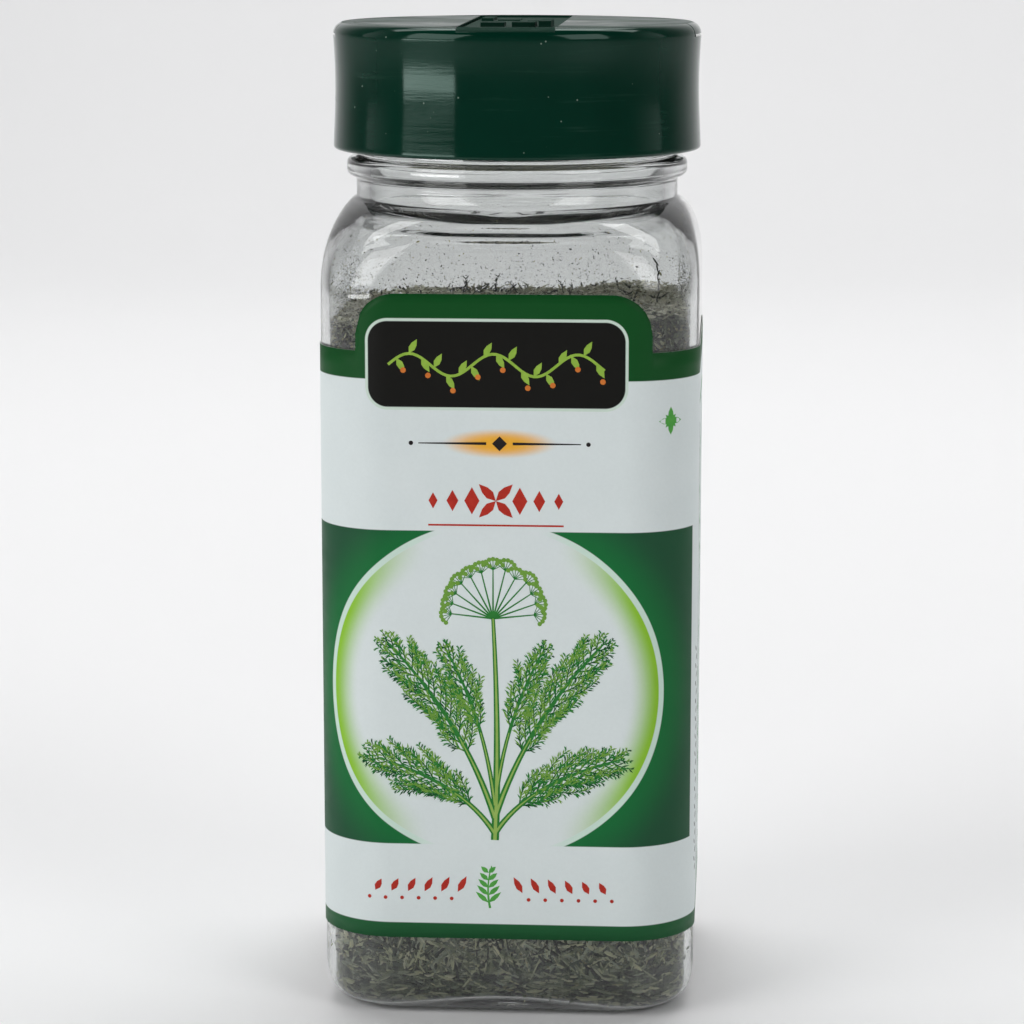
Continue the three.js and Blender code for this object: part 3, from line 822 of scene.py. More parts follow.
def umbel(inks, rng, head, lean, spread, length):
    """A flower head: rays from one point, each with its own small fan of florets."""
    rays = 13
    for ray in range(rays):
        turn = lean + spread * (ray / (rays - 1) - 0.5)
        far = length * (0.86 + 0.14 * math.cos(turn - lean)) * rng.uniform(0.94, 1.04)
        tip = polar(head, far, turn)
        inks[1].stroke([head, tip], 0.22, 0.14)
        for small in range(7):
            end = polar(tip, 0.22 * length, turn + math.radians(-63 + 21 * small))
            inks[1].stroke([tip, end], 0.1, 0.07)
            inks[2].dot(*end, 0.045 * length + 0.02, 7)


def herb_print():
    """A generic herb in the round window: one flower head over a fan of feathery leaves."""
    rng = random.Random(77)
    inks = [Stencil(layer) for layer in range(3)]
    stems = Stencil(3)
    foot = (HERB_X, HERB_FOOT_Z)
    for side in (-1, 1):
        low = curve_path(foot, (HERB_X + side * 4.0, 30.0), (HERB_X + side * 15.4, 33.0), 16)
        high = curve_path((HERB_X, 25.4), (HERB_X + side * 3.8, 37.5), (HERB_X + side * 13.2, 47.4), 16)
        inner = curve_path((HERB_X, 27.0), (HERB_X + side * 1.2, 38.0), (HERB_X + side * 6.0, 46.6), 16)
        for path, width in ((low, 0.75), (high, 0.85), (inner, 0.6)):
            inks[1].stroke(path, width, 0.22)
            stems.stroke(path[:8], width * 0.4, 0.1)
        frond(inks, rng, low[4:], 5.0, 15)
        frond(inks, rng, high[5:], 5.2, 16)
        frond(inks, rng, inner[7:], 3.2, 12)
    middle = curve_path((HERB_X, 22.6), (HERB_X + 0.6, 36.0), (HERB_X - 0.2, 50.4), 16)
    inks[1].stroke(middle, 1.0, 0.45)
    stems.stroke(middle, 0.42, 0.16)
    umbel(inks, rng, middle[-1], math.pi / 2, math.radians(168), 6.0)
    shades = (("#124424", "#1a5a2b"), ("#23702f", "#37863a"), ("#5d9136", "#7fa94a"), ("#86ad4c", "#a1bd66"))
    for number, (ink, (dark, light)) in enumerate(zip(inks + [stems], shades)):
        ink.finish(f"herb_print_{number + 1}", printed_ink(f"herb_ink_{number + 1}", dark, light))


def ornament_prints():
    """A red divider, a dark rule, a vine on the dark panel, a foot line, a rosette and a side row."""
    red = Stencil()
    for side in (-1, 1):
        for number, size in enumerate((2.7, 2.1, 1.6)):
            red.diamond(DIVIDER_X + side * (2.9 + 2.35 * number), DIVIDER_Z, size * 0.34, size * 0.62)
    for turn in range(4):
        red.leaf(DIVIDER_X, DIVIDER_Z, math.pi / 2 * turn + math.pi / 4, 2.9, 1.3)
    red.stroke([(DIVIDER_X + reach, DIVIDER_LINE_Z) for reach in (-8.2, 0, 8.2)], 0.22, 0.22)
    for side in (-1, 1):
        for number in range(6):
            x = FOOT_ROW_X + side * (4.0 + 2.05 * number)
            red.leaf(x, FOOT_ROW_Z - 0.5, math.pi / 2 + side * 0.5, 2.3 - 0.12 * number, 0.95)
            red.dot(x + side * 0.75, FOOT_ROW_Z - 1.35, 0.24, 10)
    red.finish("red_print", printed_ink("red_ink", "#a3241d", "#c23a2a"))

    dark = Stencil()
    for side in (-1, 1):
        dark.stroke([(RULE_X + side * 1.6, RULE_Z), (RULE_X + side * 9.8, RULE_Z)], 0.34, 0.12)
        dark.dot(RULE_X + side * 10.7, RULE_Z, 0.28, 10)
    dark.diamond(RULE_X, RULE_Z, 0.9, 0.9)
    for number in range(26):
        lean = 0.5 if number % 2 else -0.5
        dark.leaf(SIDE_ROW_X, 17.0 + 1.12 * number, math.pi / 2 + lean, 0.9, 0.34)
    dark.finish("dark_print", printed_ink("dark_ink", "#1d1a1a", "#2c2828"))

    vine = Stencil()
    path = [(-14.0 + 0.5 * i, 81.4 + 1.35 * math.sin(0.31 * i)) for i in range(53)]
    vine.stroke(path, 0.34, 0.34)
    for number in range(2, 52, 3):
        x, z = path[number]
        side = 1 if (number // 3) % 2 else -1
        vine.leaf(x, z, side * 1.05, 2.0, 0.95)
    vine.finish("vine_print", printed_ink("vine_ink", "#7fa63a", "#a3c552"))

    berry = Stencil(2)
    for number in range(3, 52, 6):
        x, z = path[number]
        lift = 1.75 if (number // 3) % 2 == 0 else -1.75
        berry.dot(x + 0.3, z + lift, 0.34, 12)
    berry.finish("berry_print", printed_ink("berry_ink", "#c2622c", "#e08a3c"))

    sprig = Stencil()
    sprig.stroke(curve_path((-1.8, 13.9), (-2.4, 16.6), (-1.6, 19.3), 6), 0.3, 0.12)
    for number in range(5):
        for side in (-1, 1):
            sprig.leaf(-2.0, 14.6 + 0.95 * number, math.pi / 2 - side * 0.85, 2.1 - 0.22 * number, 0.7)
    for turn in range(4):
        sprig.leaf(ROSETTE_X, ROSETTE_Z, math.pi / 2 * turn, 1.7, 0.95)
        sprig.leaf(ROSETTE_X, ROSETTE_Z, math.pi / 2 * turn + math.pi / 4, 1.1, 0.5)
    sprig.finish("foot_sprig_print", printed_ink("sprig_ink", "#3d9440", "#63b04c"))


def side_panel_prints():
    """A climbing sprig between two fine rules on each side panel of the label."""
    green, dark = Stencil(), Stencil()
    for side in (-1, 1):
        middle = side * SIDE_PANEL_X
        for edge in (-1, 1):
            x = middle + edge * 11.5
            dark.stroke([(x, 17.0), (x, 45.0), (x, 73.0)], 0.22, 0.22)
        climb = [(middle + 3.2 * math.sin(0.24 * i), 19.0 + 1.0 * i) for i in range(53)]
        green.stroke(climb, 0.55, 0.25)
        for number in range(2, 51, 2):
            x, z = climb[number]
            hand = 1 if (number // 2) % 2 else -1
            turn = math.pi / 2 - hand * 0.95 - 0.6 * math.cos(0.24 * number)
            green.leaf(x, z, turn, 3.6 - 0.03 * number, 1.3)
        for end in (14.6, 75.4):
            for number in range(-4, 5):
                green.diamond(middle + 2.6 * number, end, 0.7, 0.45)
    green.finish("side_sprig_print", printed_ink("side_sprig_ink", "#2f7d3c", "#58a24a"))
    dark.finish("side_rule_print", printed_ink("side_rule_ink", "#33503a", "#4a6a50"))


def cap_outside(inset):
    """The cap's outside from its bottom edge to the flat top, as radius and height."""
    wide, waist, top = CAP_RADIUS - inset, CAP_WAIST - inset, CAP_SHOULDER - inset
    edge, fillet = CAP_BOTTOM + CAP_EDGE, CAP_TOP - CAP_FILLET
    middle = (waist, CAP_WAIST_Z)
    rows = list(arc(wide - CAP_EDGE, edge, CAP_EDGE, -90, 0, 5))
    rows += bezier((wide, edge), (wide - 0.13, 109), (waist, 111.3), middle, 18)
    rows += bezier(middle, (waist, CAP_WAIST_Z + 2.1), (top - 0.16, fillet - 2.3), (top, fillet), 14)
    rows += arc(top - CAP_FILLET, fillet, CAP_FILLET, 6, 90, 12)
    return rows


def prism(outline, bottom, top):
    """A closed outline in X and Y raised from one height to another, as an object for a cut or a join."""
    bm = bmesh.new()
    face = bm.faces.new([bm.verts.new((x * MM, y * MM, bottom * MM)) for x, y in outline])
    made = bmesh.ops.extrude_face_region(bm, geom=[face])
    bmesh.ops.translate(bm, verts=made_verts(made), vec=(0, 0, (top - bottom) * MM))
    bmesh.ops.recalc_face_normals(bm, faces=bm.faces)
    return loose(bm)


def loose(bm):
    mesh = bpy.data.meshes.new("tool")
    bm.to_mesh(mesh)
    bm.free()
    tool = bpy.data.objects.new("tool", mesh)
    bpy.context.scene.collection.objects.link(tool)
    return tool


def half_disc(start, radius, side, steps=48):
    """The part of a disc past a straight edge, on one side of the cap."""
    reach = math.acos(start / radius)
    turns = [-reach + 2 * reach * i / steps for i in range(steps + 1)]
    return [(side * radius * math.cos(turn), radius * math.sin(turn)) for turn in turns]


def box_outline(x0, x1, y0, y1):
    return [(x0, y0), (x1, y0), (x1, y1), (x0, y1)]


def joined(base, *changes):
    """Joins, cuts or crops a shape with others in turn, and gives back one mesh as a bmesh."""
    for operation, tool in changes:
        step = base.modifiers.new("join", "BOOLEAN")
        step.operation = operation
        step.solver = "EXACT"
        step.object = tool
        shown = bpy.context.evaluated_depsgraph_get()
        mesh = bpy.data.meshes.new_from_object(base.evaluated_get(shown))
        base.modifiers.clear()
        base.data = mesh
        bpy.data.objects.remove(tool)
    bm = bmesh.new()
    bm.from_mesh(base.data)
    bpy.data.objects.remove(base)
    return bm


def sifter_places():
    """The middles of the sifter holes, in two curved rows on the left."""
    for distance, count in HOLE_ROWS:
        for number in range(count):
            turn = (number - (count - 1) / 2) * HOLE_SPACING / distance
            yield -distance * math.cos(turn), distance * math.sin(turn)


def soften(piece, width):
    """Rounds the sharp moulded edges of a piece and shades it smooth."""
    bevel = piece.modifiers.new("moulded_edges", "BEVEL")
    bevel.width = width * MM
    bevel.segments = 3
    bevel.limit_method = "ANGLE"
    bevel.angle_limit = math.radians(38)
    normals = piece.modifiers.new("even_shading", "WEIGHTED_NORMAL")
    normals.keep_sharp = False


def cap_shell(plastic):
    """The screw cap: outside wall, inside thread, deck, bridge with hinge blocks, and openings."""
    depth = DECK_UNDER - CAP_BOTTOM - 0.5
    inner = [(CAP_INNER, DECK_UNDER - depth * i / 56) for i in range(57)]
    rows = [(0, DECK_UNDER), (10, DECK_UNDER), (CAP_INNER - 0.3, DECK_UNDER)]
    first, last = len(rows), len(rows) + len(inner)
    rows += inner + [(CAP_INNER + 0.3, CAP_BOTTOM)] + cap_outside(0)
    rows += [(RIM_INNER, CAP_TOP), (RIM_INNER, DECK_TOP), (10, DECK_TOP), (0, DECK_TOP)]

    def settle(place, number):
        if not first <= number < last:
            return place
        angle = math.atan2(place.y, place.x)
        reach = CAP_INNER + thread_rise(angle, place.z, math.pi, THREAD_START_Z + THREAD_GRIP, -1)
        return Vector((reach * math.cos(angle), reach * math.sin(angle), place.z))

    shell = loose(spun(rows, steps=CAP_AROUND, settle=settle))
    end = RIM_INNER + 0.4
    across = math.acos(BRIDGE_HALF / end)
    turns = [across + (math.pi - 2 * across) * i / 12 for i in range(13)]
    bridge = [(end * math.cos(turn), end * math.sin(turn)) for turn in turns]
    bridge += [(-x, -y) for x, y in bridge]
    changes = [("UNION", prism(bridge, DECK_TOP - 0.5, CAP_TOP - BRIDGE_SUNK))]
    for end, sunk in ((1, 0.0), (-1, BACK_BLOCK_SUNK)):
        for x0, x1, y0, y1, rise in HINGE_BLOCKS:
            block = box_outline(*sorted((end * x0, end * x1)), *sorted((end * y0, end * y1)))
            changes.append(("UNION", prism(block, DECK_TOP, CAP_TOP + rise - sunk)))
    width = THUMB_HALF + FLAP_GAP
    for side in (-1, 1):
        near, far = sorted((side * (RIM_INNER - 2), side * (CAP_RADIUS + 2)))
        notch = box_outline(near, far, -width, width)
        changes.append(("DIFFERENCE", prism(notch, DECK_TOP + 0.002, CAP_TOP + 1)))
    openings = [around(x, y, HOLE_RADIUS, 32) for x, y in sifter_places()]
    openings.append(half_disc(POUR_START, POUR_RADIUS, 1))
    changes += [("DIFFERENCE", prism(opening, DECK_UNDER - 1, DECK_TOP + 1)) for opening in openings]
    piece = add_piece("cap_shell", joined(shell, *changes), plastic, "cap", "cap", record_slot="green_plastic")
    soften(piece, 0.12)


def flap(side, plastic, name, node, extras):
    """A flap with its thumb tab, cropped to the cap's rounded outside, with what hangs under it."""
    under = DECK_TOP + FLAP_GAP
    disc = half_disc(BRIDGE_HALF + FLAP_GAP, RIM_INNER - FLAP_GAP, side)
    lid = [(x, y) for x, y in disc if abs(y) <= FLAP_HALF]
    inner_x = side * (BRIDGE_HALF + FLAP_GAP)
    lid = [(inner_x, -FLAP_HALF)] + lid + [(inner_x, FLAP_HALF)]
    near, far = sorted((side * (RIM_INNER - 3), side * CAP_RADIUS))
    envelope = loose(spun([(0, CAP_BOTTOM)] + cap_outside(0.02) + [(0, CAP_TOP)], steps=CAP_AROUND))
    thumb = prism(box_outline(near, far, -THUMB_HALF, THUMB_HALF), under, CAP_TOP + 1)
    changes = [("UNION", thumb), ("INTERSECT", envelope)] + extras
    shape = joined(prism(lid, under, CAP_TOP + 0.98), *changes)
    soften(add_piece(name, shape, plastic, node, node, record_slot="green_plastic"), 0.15)


def flaps(plastic):
    """The sifter's flap with a plug for each hole, and the pouring flap with its sealing rib."""
    under = DECK_TOP + FLAP_GAP
    plugs = [("UNION", prism(around(x, y, PLUG_RADIUS, 32), under - PLUG_DEPTH - FLAP_GAP, under + 0.5))
             for x, y in sifter_places()]
    flap(-1, plastic, "sifter_flap", "flap_sift", plugs)
    start, radius = POUR_START + RIB_CLEARANCE, POUR_RADIUS - RIB_CLEARANCE
    rib = prism(half_disc(start, radius, 1), under - RIB_DEPTH, under + 0.5)
    inside = half_disc(start + RIB_THICKNESS, radius - RIB_THICKNESS, 1)
    core = prism(inside, under - RIB_DEPTH - 1, under + 0.01)
    rib_mesh = joined(rib, ("DIFFERENCE", core))
    flap(1, plastic, "pouring_flap", "flap_pour", [("UNION", loose(rib_mesh))])


# Dried dill


def heap_height(x, y):
    """Height of the heap's top: a low mound on the right, and shallow dips."""
    rise = max(0.0, min(1.0, (x - 3) / 10))
    mound = MOUND * rise * rise * (3 - 2 * rise)
    return DILL_TOP - 0.5 + mound - 0.02 * y + 0.4 * math.sin(0.42 * x + 1) * math.cos(0.37 * y - 0.6)


def dill_core():
    """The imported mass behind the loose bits, a little inside the wall."""
    inset = 0.42
    half = BODY_HALF - WALL - inset
    corner = BODY_CORNER - WALL - inset
    rows = basin(inset)[::-1]
    first_side = len(rows)
    side_rows = 70
    top = DILL_TOP - 0.6
    low, high = HEEL_INNER_Z + 2, top - 1.6
    rows += [(half, low + (high - low) * i / side_rows) for i in range(side_rows + 1)]
    first_top = len(rows)
    rows += bezier((half, high), (half, top - 0.3), (half - 0.8, top), (half - 2, top), 5)
    rows += [(half - 2 - (half - 2) * i / 22, top) for i in range(1, 23)]
    rng = random.Random(5)

    def settle(place, number):
        radius, height = rows[number]
        if radius < 1e-6:
            return Vector((0, 0, height))
        angle = corner_rich(place)
        rough = rng.uniform(0, 0.35) if number >= first_side else 0
        reach = square_reach(angle, radius, min(corner, radius)) - rough
        x, y = reach * math.cos(angle), reach * math.sin(angle)
        if number >= first_top:
            height += (heap_height(x, y) - DILL_TOP) + rng.uniform(-0.3, 0.2)
        elif number < first_side:
            height += base_wave(angle, radius, height)
        return Vector((x, y, height))

    bm = spun(rows, settle=settle)
    add_piece("dill_mass", bm, heap_core(), "jar", "dill", record_slot="dried_dill")


def bit(rings, bend):
    """One dry bit, one unit long along X: a bent three-sided sliver."""
    bm = bmesh.new()
    bmesh.ops.create_circle(bm, cap_ends=True, segments=3, radius=rings[0])
    bmesh.ops.rotate(bm, verts=bm.verts, cent=(0, 0, 0), matrix=Matrix.Rotation(math.pi / 2, 3, "Y"))
    bmesh.ops.translate(bm, verts=bm.verts, vec=(-0.5, 0, 0))
    face = next(iter(bm.faces))
    for number, size in enumerate(rings[1:], 1):
        made = bmesh.ops.extrude_face_region(bm, geom=[face])
        verts = made_verts(made)
        if number > 1:
            bmesh.ops.delete(bm, geom=[face], context="FACES_ONLY")
        face = next(part for part in made["geom"] if isinstance(part, bmesh.types.BMFace))
        centre = face.calc_center_median()
        scale = size / rings[number - 1]
        bmesh.ops.scale(bm, verts=verts, vec=(1, scale, scale), space=Matrix.Translation(-centre))
        share = number / (len(rings) - 1)
        bmesh.ops.translate(bm, verts=verts, vec=(1 / (len(rings) - 1), 0, bend * (1 - 2 * share)))
    bmesh.ops.recalc_face_normals(bm, faces=bm.faces)
    mesh = bpy.data.meshes.new("bit")
    bm.to_mesh(mesh)
    bm.free()
    return mesh


def scatter(name, material, places):
    """Many bits in one mesh, each with its position, direction, facing, length, width and tone."""
    bm = bmesh.new()
    for template, *_ in places:
        bm.from_mesh(template)
    tone = bm.verts.layers.float.new("tone")
    bm.verts.ensure_lookup_table()
    start = 0
    for template, position, along, facing, length, width, shade in places:
        across = facing.cross(along).normalized()
        up = along.cross(across).normalized()
        pose = Matrix((along * length, across * width, up * width)).transposed()
        count = len(template.vertices)
        for vert in bm.verts[start:start + count]:
            vert.co = (pose @ vert.co + position) * MM
            vert[tone] = shade
        start += count
    add_piece(name, bm, material, "jar", "dill", record_slot="dried_dill", smooth=False)


def inside_place(angle, half, corner, height, slope):
    """A place on the inside of the plastic and the direction out through it, for a wall with this slope."""
    reach = square_reach(angle, half, corner)
    ahead = square_reach(angle + 0.01, half, corner)
    here = Vector((reach * math.cos(angle), reach * math.sin(angle), height))
    there = Vector((ahead * math.cos(angle + 0.01), ahead * math.sin(angle + 0.01), height))
    level = (there - here).cross(Vector((0, 0, 1))).normalized()
    return here, (level * -slope[1] + Vector((0, 0, slope[0]))).normalized()


def wall_place(angle, height, inset):
    return inside_place(angle, BODY_HALF - WALL - inset, BODY_CORNER - WALL - inset, height, (0, -1))


def basin_place(rng, inset):
    """A place on the inside of the heel or the floor."""
    rows = basin(inset)
    while True:
        number = rng.randrange(len(rows) - 1)
        (r0, z0), (r1, z1) = rows[number], rows[number + 1]
        if rng.random() < r0 / 22 * math.hypot(r1 - r0, z1 - z0) / 1.5:
            break
    share = rng.random()
    half = r0 + (r1 - r0) * share
    angle = rng.uniform(0, 2 * math.pi)
    height = z0 + (z1 - z0) * share
    height += base_wave(angle, half, height)
    corner = min(half, BODY_CORNER - WALL - inset - min(1.0, 0.3 * (rows[0][0] - half)))
    return inside_place(angle, half, corner, height, (r1 - r0, z1 - z0)), half


def lying(rng, position, out, turn, length, width, shapes):
    """One bit that lies against the plastic, turned from the level direction."""
    level = out.cross(Vector((0, 0, 1)))
    level = level.normalized() if level.length > 0.05 else Vector((1, 0, 0))
    along = level * math.cos(turn) + out.cross(level) * math.sin(turn) + out * rng.uniform(-0.1, 0.0)
    tone = min(1.0, max(0.0, rng.gauss(0.5, 0.38)))
    return rng.choice(shapes), position, along.normalized(), out, length, width, tone


def side_bits(rng, shapes, count, low, high, longest, widest, angles=(0, 2 * math.pi)):
    """Bits that lie against the wall between two heights, in loose swirls."""
    places = []
    for _ in range(count):
        angle = rng.uniform(*angles)
        height = rng.uniform(low, high)
        position, out = wall_place(angle, height, 0.12 + 0.45 * rng.random() ** 1.5)
        swirl = 1.6 * math.sin(angle * 9 + height * 0.5) + 1.1 * math.sin(angle * 4 - height * 0.8)
        at_corner = abs(angle % (math.pi / 2) - math.pi / 4) < 0.3
        length = longest * rng.uniform(0.5, 1.0) ** 1.6 * (0.45 if at_corner else 1.0)
        width = widest * rng.uniform(0.4, 1.0)
        places.append(lying(rng, position, out, swirl + rng.gauss(0, 0.7), length, width, shapes))
    return places


def base_bits(rng, shapes, count, longest, widest):
    """Bits that lie in the heel and on the floor of the jar."""
    places = []
    for _ in range(count):
        (position, out), half = basin_place(rng, rng.uniform(0.2, 0.5))
        in_heel = out.z > -0.9 and half > 12
        turn = rng.gauss(0, 0.35) if in_heel else rng.uniform(0, math.pi)
        length = longest * rng.uniform(0.4, 1.0) * (0.7 if in_heel else 1.0)
        places.append(lying(rng, position, out, turn, length, widest * rng.uniform(0.4, 1.0), shapes))
    return places


def top_bits(rng, shapes, count, longest, widest, rise):
    """Bits that lie about on the heap."""
    places = []
    half = BODY_HALF - WALL - 0.5
    corner = BODY_CORNER - WALL - 0.5
    for _ in range(count):
        angle = rng.uniform(0, 2 * math.pi)
        reach = square_reach(angle, half, corner) * math.sqrt(rng.random())
        x, y = reach * math.cos(angle), reach * math.sin(angle)
        height = heap_height(x, y) + rng.uniform(-0.8, rise)
        turn = rng.uniform(0, 2 * math.pi)
        along = Vector((math.cos(turn), math.sin(turn), rng.gauss(0, 0.3))).normalized()
        length = rng.uniform(0.4, 1.0) * longest
        room = square_reach(angle, half, corner) - reach
        if room < length / 2:
            side = Vector((-y, x, 0)).normalized()
            along = (side + Vector((0, 0, rng.uniform(-0.4, 0.5)))).normalized()
        places.append((rng.choice(shapes), Vector((x, y, height)), along, Vector((0, 0, 1)), length,
                       widest * rng.uniform(0.45, 1.0), rng.random()))
    return places


def sprig(rng, shapes, foot, rise, lean):
    """A curled bit of leaf that stands up out of the heap, with short forks."""
    places = []
    here = Vector(foot)
    heading = Vector((*lean, 1)).normalized()
    shade = rng.uniform(0.0, 0.3)
    steps = 4
    for step in range(steps):
        sway = Vector((rng.gauss(0, 0.35), rng.gauss(0, 0.25), rng.uniform(-0.15, 0.15)))
        heading = (heading + sway).normalized()
        part = rise / steps * 1.25
        facing = Vector((0, 1, 0)) if abs(heading.y) < 0.9 else Vector((1, 0, 0))
        places.append((rng.choice(shapes), here + heading * part * 0.5, heading, facing, part * 1.3,
                       0.26 - 0.03 * step, shade))
        here = here + heading * part
        for _ in range(rng.randint(1, 3)):
            spread = Vector((rng.gauss(0, 0.8), rng.gauss(0, 0.6), rng.uniform(-0.2, 0.3)))
            fork = (heading + spread).normalized()
            twig = rng.uniform(0.35, 0.8)
            places.append((rng.choice(shapes), here + fork * twig * 0.5, fork, facing, twig, 0.2, shade))
    return places


def sprigs(rng, shapes):
    """The tall sprigs that show over the label's tab, and smaller ones all over the heap."""
    places = []
    for x, y, rise in TALL_SPRIGS:
        places += sprig(rng, shapes, (x, y, heap_height(x, y) - 0.2), rise, (rng.gauss(0, 0.4), 0))
    for _ in range(46):
        angle = rng.uniform(0, 2 * math.pi)
        reach = 19.5 * math.sqrt(rng.random())
        x, y = reach * math.cos(angle), reach * math.sin(angle)
        foot = (x, y, heap_height(x, y) - 0.4)
        places += sprig(rng, shapes, foot, rng.uniform(0.7, 1.6), (rng.gauss(0, 0.5), rng.gauss(0, 0.5)))
    stem = curve_path((0.0, 93.6), (0.9, 91.2), (0.35, 87.8), 7)
    for (shift, high), (next_shift, low) in zip(stem, stem[1:]):
        wave = 0.16 * math.sin(high * 2.4)
        start = Vector((17.6 + shift + wave, -16.6, high))
        along = Vector((17.6 + next_shift - wave, -16.6, low)) - start
        places.append((shapes[0], start + along / 2, along.normalized(), Vector((0, 1, 0)), along.length * 1.3,
                       0.26, 0.0))
    return places


def clinging_dust(rng, shapes, count):
    """Specks stuck to the inside of the wall above the heap, thickest just over it."""
    places = []
    for _ in range(count):
        angle = rng.uniform(0, 2 * math.pi)
        height = DILL_TOP - 0.5 + 13.0 * rng.random() ** 1.8
        if height < SHOULDER_START:
            position, out = wall_place(angle, height, 0.05)
        else:
            share = min(0.92, (height - SHOULDER_START) / (SHOULDER_END - SHOULDER_START))
            half, corner, level = shoulder(share, WALL + 0.05)
            reach = square_reach(angle, half, min(corner, half))
            position = Vector((reach * math.cos(angle), reach * math.sin(angle), level))
            out = Vector((math.cos(angle), math.sin(angle), 0.6 * share)).normalized()
        size = 0.09 + 0.1 * rng.random() ** 3
        if rng.random() < 0.02:
            size = rng.uniform(0.2, 0.34)
        turn = rng.uniform(0, math.pi)
        length = size * rng.uniform(1, 1.6)
        places.append(lying(rng, position, out, turn, length, size * 0.8, shapes))
    return places


def dried_dill():
    rng = random.Random(11)
    slim = [bit((0.22, 0.5, 0.42, 0.16), bend) for bend in (-0.06, 0.02, 0.09)]
    flat = [bit((0.3, 0.62, 0.55, 0.25), bend) for bend in (-0.03, 0.05)]
    crumb = [bit((0.35, 0.6, 0.3), 0.0)]
    mixed = slim + slim + flat
    dill_core()
    leaf = dry_leaf("dry_leaf", "#20261b", "#7e866c", "#d0d1ac")
    pale = dry_leaf("dry_pale_leaf", "#4f584b", "#acb49d", "#e4e2c4")
    crumbs = dry_leaf("dry_crumbs", "#1e1f16", "#55563f", "#979268")
    # Painted light: the top bits' leaf is painted much lighter than the side crumbs, standing in for the light
    # that falls on the top of the heap.
    painted_light_top_leaf = dry_leaf("dry_leaf_painted_light_top", "#a09f88", "#dad8c0", "#f5f2e0")
    straw = dry_leaf("dry_straw", "#6b6a48", "#a8a275", "#dcd6ae")
    low, high = HEEL_INNER_Z + 0.6, 11.0
    above = DILL_TOP - 6.0
    seam = (math.pi / 2 - 0.24, math.pi / 2 + 0.24)

    places = side_bits(rng, mixed, 3000, low, high, 4.4, 0.6) + base_bits(rng, mixed, 3600, 3.4, 0.6)
    places += side_bits(rng, crumb, 1500, low, high, 0.9, 0.5) + base_bits(rng, crumb, 900, 0.9, 0.5)
    scatter("dill_low", leaf, places)
    places = side_bits(rng, mixed, 1300, low, high, 3.6, 0.6)
    places += side_bits(rng, crumb, 1300, low, high, 0.7, 0.4)
    places += base_bits(rng, mixed, 1300, 3.0, 0.6) + base_bits(rng, crumb, 700, 0.7, 0.4)
    scatter("dill_pale", pale, places)
    # The bits on top of the heap take the leaf painted lighter, as painted light on the heap's top.
    places = top_bits(rng, mixed, 3200, 2.0, 0.4, 0.3) + top_bits(rng, crumb, 3800, 0.8, 0.42, 0.5)
    scatter("dill_top", painted_light_top_leaf, places)
    places = side_bits(rng, mixed, 1800, above, DILL_TOP - 0.5, 2.4, 0.42)
    places += side_bits(rng, crumb, 2600, above, DILL_TOP - 0.3, 0.8, 0.45)
    scatter("dill_shoulder", crumbs, places)
    places = top_bits(rng, mixed, 300, 2.0, 0.4, 0.4)
    places += side_bits(rng, mixed, 1000, above, DILL_TOP - 0.5, 2.6, 0.45)
    places += sprigs(rng, slim)
    scatter("dill_top_leaf", leaf, places)
    places = side_bits(rng, mixed, 1500, high, above, 4.0, 0.55, seam)
    places += side_bits(rng, mixed, 1800, high, above, 5.0, 0.6)
    scatter("dill_behind_label", leaf, places)
    places = side_bits(rng, slim, 620, low, high, 2.4, 0.28)
    places += side_bits(rng, slim, 260, above, DILL_TOP, 1.6, 0.3)
    places += side_bits(rng, crumb, 1000, low, high, 0.5, 0.34)
    places += side_bits(rng, crumb, 500, above, DILL_TOP, 0.5, 0.3)
    places += top_bits(rng, slim, 260, 1.6, 0.3, 0.5) + base_bits(rng, slim, 420, 2.4, 0.28)
    places += side_bits(rng, slim, 90, high, above, 3.6, 0.4, seam)
    scatter("dill_straw", straw, places)
    scatter("dill_dust", crumbs, clinging_dust(rng, crumb, 4000))


# Studio


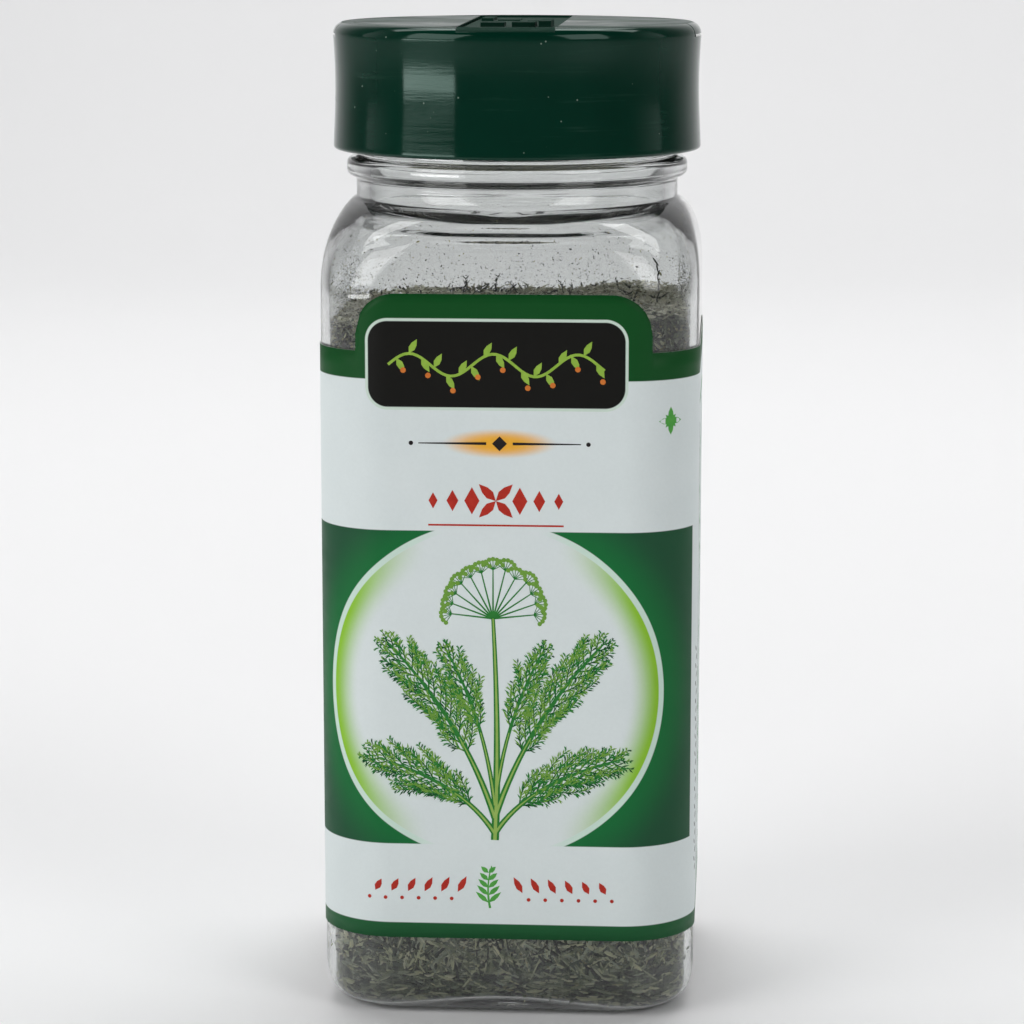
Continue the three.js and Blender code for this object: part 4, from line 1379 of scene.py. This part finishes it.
def studio():
    """A pale swept floor, soft light mostly from behind and above, and the camera at the photo's place."""
    bm = bmesh.new()
    sweep = [(-6.0, 0.0), (-2.0, 0.0), (0.0, 0.0), (0.8, 0.0)]
    turns = [math.pi / 2 * i / 12 for i in range(1, 13)]
    sweep += [(0.8 + 0.5 * math.sin(turn), 0.5 - 0.5 * math.cos(turn)) for turn in turns]
    sweep += [(1.3, 1.2), (1.3, 2.4)]
    verts = [bm.verts.new((-4.0, y, z)) for y, z in sweep]
    edges = [bm.edges.new(pair) for pair in zip(verts, verts[1:])]
    made = bmesh.ops.extrude_edge_only(bm, edges=edges)
    bmesh.ops.translate(bm, verts=made_verts(made), vec=(8.0, 0, 0))
    bmesh.ops.recalc_face_normals(bm, faces=bm.faces)
    mesh = bpy.data.meshes.new("studio_floor")
    bm.to_mesh(mesh)
    bm.free()
    for face in mesh.polygons:
        face.use_smooth = True
    floor = bpy.data.objects.new("studio_floor", mesh)
    mesh.materials.append(studio_floor())
    bpy.context.scene.collection.objects.link(floor)
    floor.location.z = -0.0003

    world = bpy.data.worlds.new("studio")
    bpy.context.scene.world = world
    world.use_nodes = True
    tree = world.node_tree
    background = tree.nodes["Background"]
    background.inputs["Color"].default_value = (0.97, 0.98, 1.0, 1)
    split = tree.nodes.new("ShaderNodeSeparateXYZ")
    tree.links.new(tree.nodes.new("ShaderNodeTexCoord").outputs["Generated"], split.inputs[0])
    front_to_back = tree.nodes.new("ShaderNodeMapRange")
    front_to_back.interpolation_type = "SMOOTHSTEP"
    for name, value in (("From Min", -0.25), ("From Max", 0.5), ("To Min", 0.1), ("To Max", 0.95)):
        front_to_back.inputs[name].default_value = value
    tree.links.new(split.outputs[1], front_to_back.inputs["Value"])
    ceiling = tree.nodes.new("ShaderNodeMapRange")
    ceiling.interpolation_type = "SMOOTHSTEP"
    for name, value in (("From Min", 0.3), ("From Max", 0.75), ("To Min", 1.0), ("To Max", 0.12)):
        ceiling.inputs[name].default_value = value
    tree.links.new(split.outputs[2], ceiling.inputs["Value"])
    strength = tree.nodes.new("ShaderNodeMath")
    strength.operation = "MULTIPLY"
    tree.links.new(front_to_back.outputs[0], strength.inputs[0])
    tree.links.new(ceiling.outputs[0], strength.inputs[1])
    tree.links.new(strength.outputs[0], background.inputs["Strength"])

    def softbox(name, place, target, width, height, radiance):
        light = bpy.data.lights.new(name, "AREA")
        light.shape = "RECTANGLE"
        light.size = width
        light.size_y = height
        light.energy = radiance * math.pi * width * height
        lamp = bpy.data.objects.new(name, light)
        lamp.location = place
        aim = Vector(place) - Vector(target)
        lamp.rotation_euler = aim.to_track_quat("Z", "Y").to_euler()
        lamp.visible_camera = False
        bpy.context.scene.collection.objects.link(lamp)

    softbox("left_softbox", (-0.63, -0.5, 0.5), (0, 0, 0.08), 0.54, 0.66, 3.15)
    softbox("right_softbox", (0.6, -0.53, 0.5), (0, 0, 0.08), 0.42, 0.66, 2.65)
    softbox("left_card", (-0.477, -0.364, 0.069), (0, 0, 0.069), 0.385, 0.036, 7.0)
    softbox("left_strip", (-0.477, -0.364, 0.1095), (0, 0, 0.1095), 0.385, 0.006, 4.5)
    softbox("top_softbox", (0, 0.45, 1.0), (0, 0.1, 0), 0.8, 0.5, 2.6)
    softbox("backdrop_light", (0, 0.35, 1.1), (0, 1.1, 0.1), 1.8, 0.5, 3.4)

    camera_azimuth, distance, height, pitch = 3.81, 422.98, 136.6, 10.353
    sideways, focal, sensor = -0.645, 118.44, 36.0
    data = bpy.data.cameras.new("camera")
    data.lens = focal
    data.sensor_width = sensor
    data.clip_start = 0.01
    data.clip_end = 20
    camera = bpy.data.objects.new("camera", data)
    turn = math.radians(camera_azimuth)
    right = Vector((math.cos(turn), math.sin(turn), 0))
    place = Vector((distance * math.sin(turn), -distance * math.cos(turn), height)) + right * sideways
    camera.location = place * MM
    camera.rotation_euler = (math.radians(90 - pitch), 0, turn)
    bpy.context.scene.collection.objects.link(camera)
    bpy.context.scene.camera = camera
    bpy.context.scene.view_settings.view_transform = "Standard"


studio()
jar_glass()
label_wrap()
herb_print()
ornament_prints()
side_panel_prints()
plastic = green_plastic()
cap_shell(plastic)
flaps(plastic)
dried_dill()
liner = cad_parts["liner"]
liner.data.materials.clear()
liner.data.materials.append(liner_foam())
